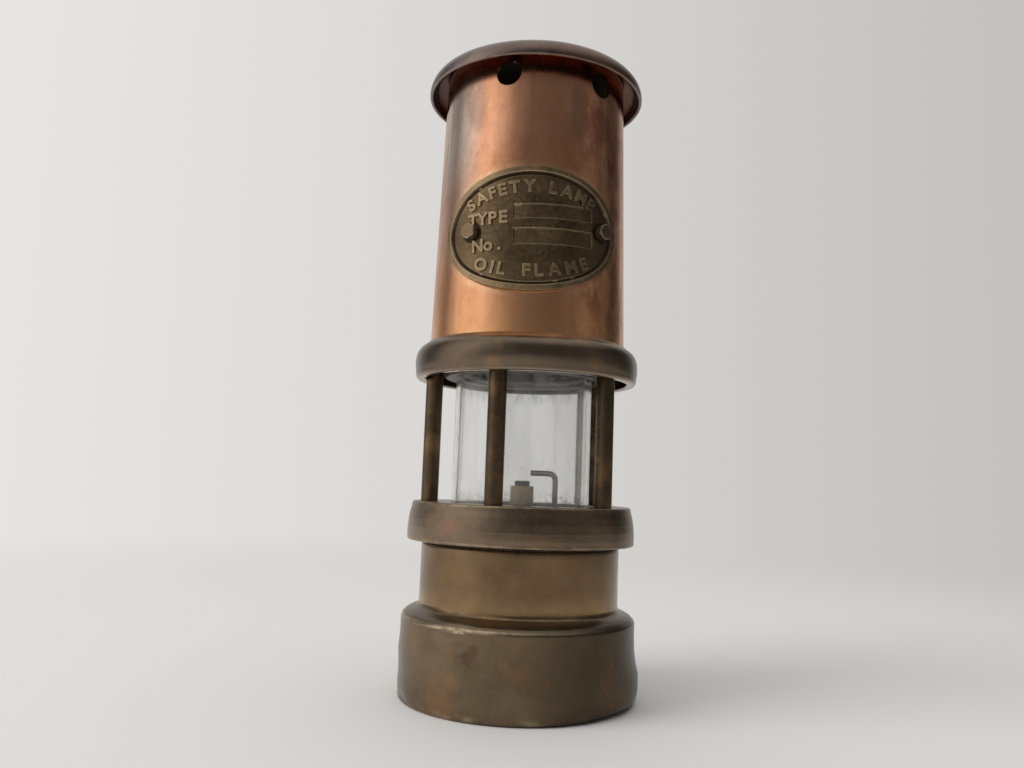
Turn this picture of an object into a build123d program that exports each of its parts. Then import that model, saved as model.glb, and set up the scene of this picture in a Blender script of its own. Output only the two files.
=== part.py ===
"""Small flame-type miner's lamp in brass and copper, 170 mm to the crown of its hood.

Frame: millimetres, +Z up, origin at the centre of the foot's resting face, -Y is the front (the side that carries the oval plate).
Azimuths are measured from -Y towards +X.
"""
import math
import os

from build123d import *

os.makedirs("parts", exist_ok=True)

# ---------------------------------------------------------------- driving dimensions
# fuel vessel: foot, shoulder, neck, screwed spigot
FOOT_R = 31.75            # widest point of the flared foot
FOOT_WIDE_Z = 4.2
FOOT_FACE_R = 30.5        # outer radius of the resting face
FOOT_CAVITY_R = 28.6
WALL_R = 31.05            # foot wall under the shoulder edge
SHOULDER_Z = 20.6
NECK_R = 26.5
NECK_Z = 23.6
NECK_TOP_Z = 39.4
SPIGOT_R = 24.0
SPIGOT_TOP_Z = 46.4
MOUTH_R = 22.0
RECESS_Z = 6.5            # depth of the hollow under the foot
BOTTOM_T = 1.4
# lower ring
SEAL_T = 0.8
RING_Z0 = NECK_TOP_Z + SEAL_T      # 40.2
RING_Z1 = 50.2
RING_R0 = 30.45
RING_R1 = 29.35
RING_BORE_R = 24.15
RING_LEDGE_Z = 46.9
LEDGE_BORE_R = 16.8
GLASS_SEAT_Z = 48.0
GLASS_SEAT_R = 19.6
# glass
GLASS_R = 18.65
GLASS_T = 1.35
GASKET_T = 0.6
GLASS_Z0 = GLASS_SEAT_Z + GASKET_T  # 48.6
GLASS_Z1 = 84.8
# pillars
PILLAR_R = 2.3
PILLAR_PCR = 25.05
PILLAR_AZ = [-88.0, -16.0, 56.0, 128.0, 200.0]
STUD_R = 1.4
# upper ring (flange under the bonnet)
FL_Z0 = 83.0
FL_EDGE_R = 30.05
FL_MAX_R = 30.5
FL_MAX_Z = 87.4
FL_TOP_Z = 93.0
FL_RECESS_R = 27.6
FL_CEIL_Z = 86.5
FL_SEAT_Z = 89.5
FL_SOCKET_R = 26.82
GAS_BORE_R = 15.0
SEAT_R = 22.4
# bonnet: a slightly tapered tube
BONNET_T = 0.9
BONNET_Z0 = FL_SEAT_Z
BONNET_Z1 = 168.0
BONNET_R_Z92 = 26.65
BONNET_SLOPE = -1.5 / 68.0
VENT_Z = 161.2
VENT_R = 3.35
VENT_AZ = [43.4 + 60.0 * i for i in range(6)]
# hood
HOOD_R = 30.15
HOOD_Z0 = 163.5
HOOD_EDGE_R = 5.0
HOOD_T = 0.9
CROWN_Z = 170.6
# oval plate
PLATE_Z = 119.3
PLATE_A = 24.0            # half width along the curve
PLATE_B = 16.3
PLATE_TILT = 1.8          # the plate sits a little askew, its right side higher
PLATE_T = 1.0
PLATE_RIM_T = 0.55
PLATE_RIM_W = 1.9
PINS = [("left", -34.2, 118.95), ("right", 41.9, 120.45)]   # side, azimuth, height
RIVET_R = 2.1
RIVET_SHANK_R = 1.2
RIVET_OUT = 2.1
SPOT_D = 0.12
# hanger
EYE_SHANK_R = 1.5
EYE_Z = 176.2
EYE_R = 3.7
EYE_HOLE_R = 1.6
EYE_T = 2.8
LOOP_R = 10.6             # centreline radius of the hanging ring
LOOP_WIRE_R = 1.15
LOOP_TILT = 13.4          # how far below level the ring lies when folded back
# burner
BURNER_Z = 44.9
WICK_TUBE_R = 3.2
WICK_R = 2.35
WICK_Z1 = 57.0
PRICK_X = 9.0
PRICK_WIRE_R = 0.75
PRICK_TUBE_R = 1.6
PRICK_SLEEVE_R = 2.4


def bonnet_r(z):
    """Outer radius of the tapered bonnet at height z."""
    return BONNET_R_Z92 + BONNET_SLOPE * (z - 92.0)


def polar(az, r, z=0.0):
    """Point at an azimuth (degrees from -Y towards +X), radius and height."""
    a = math.radians(az)
    return (r * math.sin(a), -r * math.cos(a), z)


def save(part, label):
    part.label = label
    export_step(part, "parts/%s.step" % label)


# ---------------------------------------------------------------- fuel vessel
# one turned and spun brass shell: flared foot, sloping shoulder, straight neck, spigot for the screw
with BuildPart() as vessel:
    with BuildSketch(Plane.XZ):
        with BuildLine():
            a = Line((FOOT_CAVITY_R, 0), (FOOT_FACE_R, 0))
            b = Spline(
                [(FOOT_FACE_R, 0), (FOOT_R - 0.1, 1.5), (FOOT_R, FOOT_WIDE_Z), (31.3, 10.0), (WALL_R, 15.5), (WALL_R, SHOULDER_Z - 0.5)],
                tangents=[(1, 0.25), (0, 1)],
            )
            c = Line(b @ 1, (WALL_R - 0.35, SHOULDER_Z))
            d = Line(c @ 1, (NECK_R + 1.0, NECK_Z - 0.75))
            e = Spline([d @ 1, (NECK_R + 0.25, NECK_Z - 0.2), (NECK_R, NECK_Z + 0.9)], tangents=[d % 1, (0, 1)])
            f = Polyline(
                e @ 1,
                (NECK_R, NECK_TOP_Z - 0.3),
                (NECK_R - 0.3, NECK_TOP_Z),
                (SPIGOT_R, NECK_TOP_Z),
                (SPIGOT_R, SPIGOT_TOP_Z - 0.4),
                (SPIGOT_R - 0.4, SPIGOT_TOP_Z),
                (MOUTH_R, SPIGOT_TOP_Z),
                (MOUTH_R, BURNER_Z),
                (20.8, BURNER_Z),
                (20.8, 43.0),
                (21.9, 41.6),
                (21.9, 38.2),
                (NECK_R - 2.4, 36.0),
                (NECK_R - 2.4, 22.6),
                (FOOT_CAVITY_R, 18.6),
                (FOOT_CAVITY_R, 0),
            )
        make_face()
    revolve(axis=Axis.Z)
save(vessel.part, "base_vessel")

# disc soldered into the foot; the sleeve of the pricker passes through it
with BuildPart() as bottom:
    with BuildSketch(Plane.XY.offset(RECESS_Z)):
        Circle(FOOT_CAVITY_R - 0.02)
        with Locations((PRICK_X, 0)):
            Circle(PRICK_SLEEVE_R + 0.02, mode=Mode.SUBTRACT)
    extrude(amount=BOTTOM_T)
save(bottom.part, "bottom_plate")

# absorbent cotton that fills the vessel
with BuildPart() as wadding:
    with BuildSketch(Plane.XZ):
        with BuildLine():
            Polyline(
                (0, RECESS_Z + BOTTOM_T + 0.3),
                (FOOT_CAVITY_R - 0.4, RECESS_Z + BOTTOM_T + 0.3),
                (FOOT_CAVITY_R - 0.4, 18.3),
                (NECK_R - 2.8, 22.3),
                (NECK_R - 2.8, 35.8),
                (21.4, 38.0),
                (21.4, 41.4),
                (20.2, 42.8),
                (20.2, 43.6),
                (0, 43.6),
                close=True,
            )
        make_face()
    revolve(axis=Axis.Z)
    with Locations((0, 0, 43.6)):
        Hole(WICK_TUBE_R + 0.2, depth=40)
    with Locations((PRICK_X, 0, 43.6)):
        Hole(PRICK_TUBE_R + 1.1, depth=40)
save(wadding.part, "cotton_wadding")

# lid of the vessel, which carries the wick tube
with BuildPart() as burner:
    with BuildSketch(Plane.XY.offset(BURNER_Z)):
        Circle(MOUTH_R - 0.03)
        Circle(WICK_TUBE_R, mode=Mode.SUBTRACT)
        with Locations((PRICK_X, 0)):
            Circle(PRICK_TUBE_R, mode=Mode.SUBTRACT)
        with PolarLocations(15.5, 2, start_angle=90):
            Circle(1.3, mode=Mode.SUBTRACT)
    extrude(amount=1.4)
    with BuildSketch(Plane.XY.offset(BURNER_Z + 1.4)):
        Circle(6.2)
        Circle(WICK_TUBE_R, mode=Mode.SUBTRACT)
    extrude(amount=1.2, taper=25)
save(burner.part, "burner_plate")

with BuildPart() as wick_tube:
    with BuildSketch(Plane.XY.offset(38.0)):
        Circle(WICK_TUBE_R - 0.02)
        Circle(WICK_R + 0.1, mode=Mode.SUBTRACT)
    extrude(amount=17.0)
    chamfer(wick_tube.edges().filter_by(GeomType.CIRCLE).sort_by(Axis.Z)[-1:], 0.25)
save(wick_tube.part, "wick_tube")

with BuildPart() as wick:
    with BuildSketch(Plane.XY.offset(12.0)):
        Circle(WICK_R)
    extrude(amount=WICK_Z1 - 12.0)
    fillet(wick.edges().sort_by(Axis.Z)[-1:], 0.9)
save(wick.part, "wick")

# fixed tube that carries the pricker through the fuel
with BuildPart() as prick_tube:
    with BuildSketch(Plane.XY.offset(14.0)):
        with Locations((PRICK_X, 0)):
            Circle(PRICK_TUBE_R - 0.02)
            Circle(PRICK_WIRE_R + 0.1, mode=Mode.SUBTRACT)
    extrude(amount=BURNER_Z + 2.6 - 14.0)
save(prick_tube.part, "pricker_tube")

# boss around the packed sleeve at the bottom plate
with BuildPart() as gland:
    with BuildSketch(Plane.XY.offset(RECESS_Z + BOTTOM_T)):
        with Locations((PRICK_X, 0)):
            Circle(PRICK_TUBE_R + 0.9)
            Circle(PRICK_TUBE_R - 0.2, mode=Mode.SUBTRACT)
    extrude(amount=14.0 - RECESS_Z - BOTTOM_T)
save(gland.part, "pricker_gland")

# friction sleeve: turns in the bottom plate, the wire slides in it
with BuildPart() as sleeve:
    with BuildSketch(Plane.XY.offset(RECESS_Z - 0.9)):
        with Locations((PRICK_X, 0)):
            Circle(PRICK_SLEEVE_R - 0.04)
            Circle(PRICK_WIRE_R + 0.05, mode=Mode.SUBTRACT)
    extrude(amount=BOTTOM_T + 0.9 - 0.05)
    with BuildSketch(Plane.XY.offset(RECESS_Z - 0.9)):
        with Locations((PRICK_X, 0)):
            Circle(3.3)
            Circle(PRICK_WIRE_R + 0.05, mode=Mode.SUBTRACT)
    extrude(amount=0.7)
save(sleeve.part, "pricker_sleeve")

# bent wire: crank handle under the foot, straight stem, hooked tip over the wick
PRICK_LOW = 1.65
PRICK_TOP = 58.6
with BuildPart() as pricker:
    with BuildLine() as route:
        FilletPolyline(
            (PRICK_X + 13.0, 0, PRICK_LOW),
            (PRICK_X, 0, PRICK_LOW),
            (PRICK_X, 0, PRICK_TOP),
            (2.2, 0, PRICK_TOP),
            radius=1.8,
        )
    with BuildSketch(Plane(origin=route.line @ 0, z_dir=route.line % 0)):
        Circle(PRICK_WIRE_R)
    sweep()
    with BuildSketch(Plane.XZ.offset(-1.0)):
        with Locations((PRICK_X + 13.0, PRICK_LOW)):
            Circle(1.1)
    extrude(amount=2.0)
save(pricker.part, "pricker_wire")

# ---------------------------------------------------------------- seal and lower ring
with BuildPart() as seal:
    with BuildSketch(Plane.XY.offset(NECK_TOP_Z + 0.02)):
        Circle(NECK_R - 0.55)
        Circle(SPIGOT_R + 0.2, mode=Mode.SUBTRACT)
    extrude(amount=SEAL_T - 0.04)
save(seal.part, "thread_seal")

with BuildPart() as ring:
    with BuildSketch(Plane.XZ):
        with BuildLine():
            s = Spline(
                [(RING_R0, RING_Z0 + 1.3), (RING_R0 - 0.05, RING_Z0 + 3.6), (RING_R1 + 0.55, RING_Z1 - 3.2), (RING_R1, RING_Z1 - 0.9)],
                tangents=[(0, 1), (-0.25, 1)],
            )
            t = Spline([s @ 1, (RING_R1 - 0.3, RING_Z1 - 0.22), (RING_R1 - 0.95, RING_Z1)], tangents=[(-0.25, 1), (-1, 0.05)])
            Polyline(
                t @ 1,
                (GLASS_SEAT_R, RING_Z1),
                (GLASS_SEAT_R, GLASS_SEAT_Z),
                (LEDGE_BORE_R, GLASS_SEAT_Z),
                (LEDGE_BORE_R, RING_LEDGE_Z),
                (RING_BORE_R, RING_LEDGE_Z),
                (RING_BORE_R, RING_Z0),
                (RING_R0 - 1.1, RING_Z0),
            )
            Spline([(RING_R0 - 1.1, RING_Z0), (RING_R0 - 0.3, RING_Z0 + 0.35), (RING_R0, RING_Z0 + 1.3)], tangents=[(1, 0), (0, 1)])
        make_face()
    revolve(axis=Axis.Z)
    with BuildSketch(Plane.XY.offset(RING_Z1)):
        for az in PILLAR_AZ:
            with Locations(polar(az, PILLAR_PCR)[:2]):
                Circle(STUD_R)
    extrude(amount=-3.0, mode=Mode.SUBTRACT)
save(ring.part, "lower_ring")

# ---------------------------------------------------------------- glass and its seats
with BuildPart() as gasket0:
    with BuildSketch(Plane.XY.offset(GLASS_SEAT_Z)):
        Circle(GLASS_R + 0.35)
        Circle(GLASS_R - GLASS_T - 0.5, mode=Mode.SUBTRACT)
    extrude(amount=GASKET_T)
save(gasket0.part, "lower_glass_gasket")

with BuildPart() as glass:
    with BuildSketch(Plane.XY.offset(GLASS_Z0)):
        Circle(GLASS_R)
        Circle(GLASS_R - GLASS_T, mode=Mode.SUBTRACT)
    extrude(amount=GLASS_Z1 - GLASS_Z0)
    fillet(glass.edges().filter_by(GeomType.CIRCLE), 0.3)
save(glass.part, "glass_cylinder")

with BuildPart() as gasket1:
    with BuildSketch(Plane.XY.offset(GLASS_Z1)):
        Circle(GLASS_R + 0.3)
        Circle(GLASS_R - GLASS_T - 0.5, mode=Mode.SUBTRACT)
    extrude(amount=GASKET_T)
save(gasket1.part, "upper_glass_gasket")

with BuildPart() as seat:
    with BuildSketch(Plane.XZ):
        with BuildLine():
            Polyline(
                (GLASS_R + 0.4, 83.7),
                (SEAT_R - 0.5, 83.7),
                (SEAT_R, 84.2),
                (SEAT_R, FL_CEIL_Z),
                (GLASS_R - GLASS_T - 0.8, FL_CEIL_Z),
                (GLASS_R - GLASS_T - 0.8, GLASS_Z1 + GASKET_T),
                (GLASS_R + 0.4, GLASS_Z1 + GASKET_T),
                close=True,
            )
        make_face()
    revolve(axis=Axis.Z)
save(seat.part, "upper_glass_seat")

# ---------------------------------------------------------------- pillars
for i, az in enumerate(PILLAR_AZ):
    x, y, _ = polar(az, PILLAR_PCR)
    with BuildPart() as pillar:
        with BuildSketch(Plane.XY.offset(RING_Z1)):
            with Locations((x, y)):
                Circle(PILLAR_R)
        extrude(amount=FL_CEIL_Z - RING_Z1)
        with BuildSketch(Plane.XY.offset(RING_Z1 - 2.8)):
            with Locations((x, y)):
                Circle(STUD_R - 0.03)
        extrude(amount=FL_CEIL_Z - RING_Z1 + 5.1)
    save(pillar.part, "pillar_%d" % (i + 1))

# ---------------------------------------------------------------- upper ring
with BuildPart() as flange:
    with BuildSketch(Plane.XZ):
        with BuildLine():
            lo = Spline([(FL_EDGE_R - 0.75, FL_Z0), (FL_EDGE_R - 0.1, FL_Z0 + 0.3), (FL_EDGE_R + 0.15, FL_Z0 + 1.2)], tangents=[(1, 0), (0.1, 1)])
            mid = Spline([lo @ 1, (FL_MAX_R - 0.02, FL_MAX_Z - 1.6), (FL_MAX_R, FL_MAX_Z)], tangents=[(0.1, 1), (0, 1)])
            top = Spline(
                [mid @ 1, (30.05, 90.0), (29.1, 91.4), (28.0, 92.35), (FL_SOCKET_R + 0.35, FL_TOP_Z - 0.1)],
                tangents=[(0, 1), (-1, 0.28)],
            )
            Polyline(
                top @ 1,
                (FL_SOCKET_R, FL_TOP_Z),
                (FL_SOCKET_R, FL_SEAT_Z),
                (GAS_BORE_R, FL_SEAT_Z),
                (GAS_BORE_R, FL_CEIL_Z),
                (FL_RECESS_R - 0.12, FL_CEIL_Z),
                (FL_RECESS_R, FL_CEIL_Z - 0.12),
                (FL_RECESS_R, FL_Z0 + 0.4),
                (FL_RECESS_R + 0.4, FL_Z0),
                lo @ 0,
            )
        make_face()
    revolve(axis=Axis.Z)
    with BuildSketch(Plane.XY.offset(FL_CEIL_Z)):
        for az in PILLAR_AZ:
            with Locations(polar(az, PILLAR_PCR)[:2]):
                Circle(STUD_R)
    extrude(amount=2.5, mode=Mode.SUBTRACT)
save(flange.part, "upper_ring")

# ---------------------------------------------------------------- gauze inside the bonnet
with BuildPart() as gauze_ring:
    with BuildSketch(Plane.XZ):
        with BuildLine():
            Polyline((16.35, FL_SEAT_Z), (20.5, FL_SEAT_Z), (20.5, FL_SEAT_Z + 1.6), (17.6, FL_SEAT_Z + 1.6), (17.6, FL_SEAT_Z + 5.0), (16.35, FL_SEAT_Z + 5.0), close=True)
        make_face()
    revolve(axis=Axis.Z)
save(gauze_ring.part, "gauze_ring")

with BuildPart() as gauze:
    with BuildSketch(Plane.XZ):
        with BuildLine():
            Polyline(
                (15.8, FL_SEAT_Z),
                (16.3, FL_SEAT_Z),
                (15.6, 146.0),
                (14.6, 148.0),
                (0, 148.0),
                (0, 147.5),
                (14.3, 147.5),
                (15.1, 145.8),
                close=True,
            )
        make_face()
    revolve(axis=Axis.Z)
save(gauze.part, "main_gauze")

with BuildPart() as gauze_cap:
    with BuildSketch(Plane.XZ):
        with BuildLine():
            Polyline(
                (16.3, 128.0),
                (16.8, 128.0),
                (16.4, 148.5),
                (15.2, 150.2),
                (0, 150.2),
                (0, 149.7),
                (14.9, 149.7),
                (15.9, 148.2),
                close=True,
            )
        make_face()
    revolve(axis=Axis.Z)
save(gauze_cap.part, "gauze_cap")

# ---------------------------------------------------------------- bonnet
with BuildPart() as bonnet:
    with BuildSketch(Plane.XZ):
        with BuildLine():
            r0, r1 = bonnet_r(BONNET_Z0), bonnet_r(BONNET_Z1)
            Polyline((r0 - BONNET_T, BONNET_Z0), (r0, BONNET_Z0), (r1, BONNET_Z1), (r1 - BONNET_T, BONNET_Z1), close=True)
        make_face()
    revolve(axis=Axis.Z)
    for az in VENT_AZ:
        with BuildSketch(Plane(origin=(0, 0, VENT_Z), x_dir=(math.cos(math.radians(az)), math.sin(math.radians(az)), 0), z_dir=polar(az, 1.0))):
            Circle(VENT_R)
        extrude(amount=40, mode=Mode.SUBTRACT)
    for _, az, pz in PINS:
        with BuildSketch(Plane(origin=(0, 0, pz), x_dir=(math.cos(math.radians(az)), math.sin(math.radians(az)), 0), z_dir=polar(az, 1.0))):
            Circle(RIVET_SHANK_R + 0.03)
        extrude(amount=40, mode=Mode.SUBTRACT)
save(bonnet.part, "bonnet")

# ---------------------------------------------------------------- oval plate and its two pins


def oval(a, b, n=48):
    """Outline of the oval wrapped on the bonnet, seen along Y."""
    pts = []
    for i in range(n):
        t = 2 * math.pi * i / n
        c, s = math.cos(t), math.sin(t)
        ct, st = math.cos(math.radians(PLATE_TILT)), math.sin(math.radians(PLATE_TILT))
        u, v = a * c * ct - b * s * st, a * c * st + b * s * ct
        rr = bonnet_r(PLATE_Z + v) + 0.5
        pts.append((rr * math.sin(u / rr), PLATE_Z + v))
    return pts


def cone_band(inner, outer):
    """Half-plane profile between two offsets from the bonnet's outer face."""
    z0, z1 = PLATE_Z - PLATE_B - 3, PLATE_Z + PLATE_B + 3
    return [(bonnet_r(z0) + inner, z0), (bonnet_r(z0) + outer, z0), (bonnet_r(z1) + outer, z1), (bonnet_r(z1) + inner, z1)]


with BuildPart() as plate:
    # raised border first, then the thin body under it, then both trimmed to the oval
    with BuildSketch(Plane.XZ):
        with BuildLine():
            Polyline(*cone_band(PLATE_T - 0.01, PLATE_T + PLATE_RIM_T), close=True)
        make_face()
    revolve(axis=Axis.Z)
    with BuildSketch(Plane.XZ):
        with BuildLine():
            Spline(*oval(PLATE_A - PLATE_RIM_W, PLATE_B - PLATE_RIM_W), periodic=True)
        make_face()
    extrude(amount=40, mode=Mode.SUBTRACT)
    with BuildSketch(Plane.XZ):
        with BuildLine():
            Polyline(*cone_band(0.03, PLATE_T), close=True)
        make_face()
    revolve(axis=Axis.Z)
    with BuildSketch(Plane.XZ):
        with BuildLine():
            Spline(*oval(PLATE_A, PLATE_B), periodic=True)
        make_face()
    extrude(amount=40, mode=Mode.INTERSECT)
    for _, az, pz in PINS:
        with BuildSketch(Plane(origin=(0, 0, pz), x_dir=(math.cos(math.radians(az)), math.sin(math.radians(az)), 0), z_dir=polar(az, 1.0))):
            Circle(RIVET_SHANK_R + 0.03)
        extrude(amount=40, mode=Mode.SUBTRACT)
        # flat spot face under the pin's head
        with BuildSketch(Plane(origin=polar(az, bonnet_r(pz) + PLATE_T - SPOT_D, pz), x_dir=(math.cos(math.radians(az)), math.sin(math.radians(az)), 0), z_dir=polar(az, 1.0))):
            Circle(RIVET_R + 0.06)
        extrude(amount=5, mode=Mode.SUBTRACT)
save(plate.part, "oval_plate")

for side, az, pz in PINS:
    frame = dict(x_dir=(math.cos(math.radians(az)), math.sin(math.radians(az)), 0), z_dir=polar(az, 1.0))
    face_r = bonnet_r(pz) + PLATE_T
    with BuildPart() as pin:
        with BuildSketch(Plane(origin=polar(az, face_r - SPOT_D + 0.02, pz), **frame)):
            Circle(RIVET_R)
        extrude(amount=RIVET_OUT + SPOT_D - 0.02)
        chamfer(pin.edges().filter_by(GeomType.CIRCLE).sort_by(lambda e: -(e.center().X ** 2 + e.center().Y ** 2))[0:1], 0.3)
        with BuildSketch(Plane(origin=polar(az, face_r - 2.7, pz), **frame)):
            Circle(RIVET_SHANK_R)
        extrude(amount=3.2)
    save(pin.part, "plate_pin_" + side)

# ---------------------------------------------------------------- crown plate and hood
with BuildPart() as crown:
    with BuildSketch(Plane.XY.offset(165.6)):
        Circle(bonnet_r(166.4) - BONNET_T - 0.05)
        Circle(EYE_SHANK_R + 0.05, mode=Mode.SUBTRACT)
    extrude(amount=1.5)
save(crown.part, "crown_plate")

with BuildPart() as hood:
    with BuildSketch(Plane.XZ):
        with BuildLine():
            cx, cz = HOOD_R - HOOD_EDGE_R, HOOD_Z0 + 0.7
            o1 = Line((HOOD_R, HOOD_Z0 + 0.3), (HOOD_R, cz))
            o2 = CenterArc((cx, cz), HOOD_EDGE_R, 0, 84)
            o3 = Spline([o2 @ 1, (12.0, CROWN_Z - 0.3), (2.85, CROWN_Z)], tangents=[o2 % 1, (-1, 0)])
            o4 = Line(o3 @ 1, (2.85, CROWN_Z - HOOD_T))
            i2 = CenterArc((cx, cz), HOOD_EDGE_R - HOOD_T, 84, -84)
            i3 = Spline([o4 @ 1, (12.0, CROWN_Z - HOOD_T - 0.3), i2 @ 0], tangents=[(1, 0), i2 % 0])
            i1 = Line(i2 @ 1, (HOOD_R - HOOD_T, HOOD_Z0 + 0.3))
            e1 = ThreePointArc(i1 @ 1, (HOOD_R - HOOD_T / 2, HOOD_Z0), o1 @ 0)
        make_face()
    revolve(axis=Axis.Z)
save(hood.part, "hood")

# ---------------------------------------------------------------- hanger: bush, swivel eye, nut, ring
with BuildPart() as bush:
    with BuildSketch(Plane.XY.offset(167.1)):
        Circle(2.8)
        Circle(EYE_SHANK_R + 0.05, mode=Mode.SUBTRACT)
    extrude(amount=CROWN_Z - 167.1)
    with BuildSketch(Plane.XY.offset(CROWN_Z)):
        Circle(4.8)
        Circle(EYE_SHANK_R + 0.05, mode=Mode.SUBTRACT)
    extrude(amount=1.2)
    fillet(bush.edges().filter_by(GeomType.CIRCLE).sort_by(lambda e: e.center().Z * 100 + e.radius)[-1:], 0.5)
save(bush.part, "hanger_bush")

with BuildPart() as eye:
    with BuildSketch(Plane.YZ.offset(-EYE_T / 2)):
        with Locations((0, EYE_Z)):
            Circle(EYE_R)
            Circle(EYE_HOLE_R, mode=Mode.SUBTRACT)
    extrude(amount=EYE_T)
    fillet(eye.edges().filter_by(GeomType.CIRCLE), 0.6)
    with BuildSketch(Plane.XY.offset(161.9)):
        Circle(EYE_SHANK_R)
    extrude(amount=173.4 - 161.9)
    with BuildSketch(Plane.XY.offset(CROWN_Z + 1.5)):
        Circle(2.9)
    extrude(amount=1.1)
save(eye.part, "swivel_eye")

with BuildPart() as nut:
    with BuildSketch(Plane.XY.offset(163.2)):
        RegularPolygon(3.2, 6)
        Circle(EYE_SHANK_R, mode=Mode.SUBTRACT)
    extrude(amount=2.0)
save(nut.part, "swivel_nut")

lt = math.radians(LOOP_TILT)
with BuildPart() as loop:
    cy, cz = LOOP_R * math.cos(lt), EYE_Z - LOOP_R * math.sin(lt)
    with BuildSketch(Plane.YZ):
        with Locations((0, EYE_Z)):
            Circle(LOOP_WIRE_R)
    revolve(axis=Axis((0, cy, cz), (0, math.sin(lt), math.cos(lt))))
save(loop.part, "hanging_ring")
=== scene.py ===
import bpy
import bmesh
import math
from mathutils import Matrix, Vector, noise


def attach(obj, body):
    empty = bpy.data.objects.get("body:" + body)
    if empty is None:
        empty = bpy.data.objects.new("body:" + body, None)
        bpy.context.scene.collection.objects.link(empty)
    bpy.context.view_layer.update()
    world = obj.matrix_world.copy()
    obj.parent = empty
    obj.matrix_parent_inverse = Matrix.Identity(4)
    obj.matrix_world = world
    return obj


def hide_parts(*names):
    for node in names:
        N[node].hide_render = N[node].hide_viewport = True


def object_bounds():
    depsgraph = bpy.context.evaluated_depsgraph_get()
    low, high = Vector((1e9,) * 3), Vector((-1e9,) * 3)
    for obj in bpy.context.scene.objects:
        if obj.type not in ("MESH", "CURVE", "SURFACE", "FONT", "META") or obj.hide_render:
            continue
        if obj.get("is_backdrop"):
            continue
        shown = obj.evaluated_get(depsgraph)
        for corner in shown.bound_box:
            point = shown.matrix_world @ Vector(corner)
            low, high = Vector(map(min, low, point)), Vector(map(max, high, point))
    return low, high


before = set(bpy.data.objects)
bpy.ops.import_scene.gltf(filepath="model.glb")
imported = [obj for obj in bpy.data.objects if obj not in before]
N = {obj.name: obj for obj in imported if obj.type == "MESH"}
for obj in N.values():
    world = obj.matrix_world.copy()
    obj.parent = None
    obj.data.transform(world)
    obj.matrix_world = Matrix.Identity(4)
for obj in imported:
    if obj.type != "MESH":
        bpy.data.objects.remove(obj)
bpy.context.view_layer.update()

MM = 0.001


# ------------------------------------------------------------------ numbers shared with the CAD frame (millimetres)
def bonnet_r(z):
    return 26.65 - 1.5 / 68.0 * (z - 92.0)


PLATE_Z = 119.3
PLATE_A, PLATE_B = 24.0, 16.3
TILT_C, TILT_S = math.cos(math.radians(1.8)), math.sin(math.radians(1.8))
PINS = (("left", -34.2, 118.95), ("right", 41.9, 120.45))


def smooth(a, b, x):
    if a == b:
        return 0.0 if x < a else 1.0
    t = min(1.0, max(0.0, (x - a) / (b - a)))
    return t * t * (3 - 2 * t)


def fbm(v, octaves=4):
    s, amp, f = 0.0, 1.0, 1.0
    for _ in range(octaves):
        s += amp * noise.noise(v * f)
        amp *= 0.5
        f *= 2.03
    return s


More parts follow.
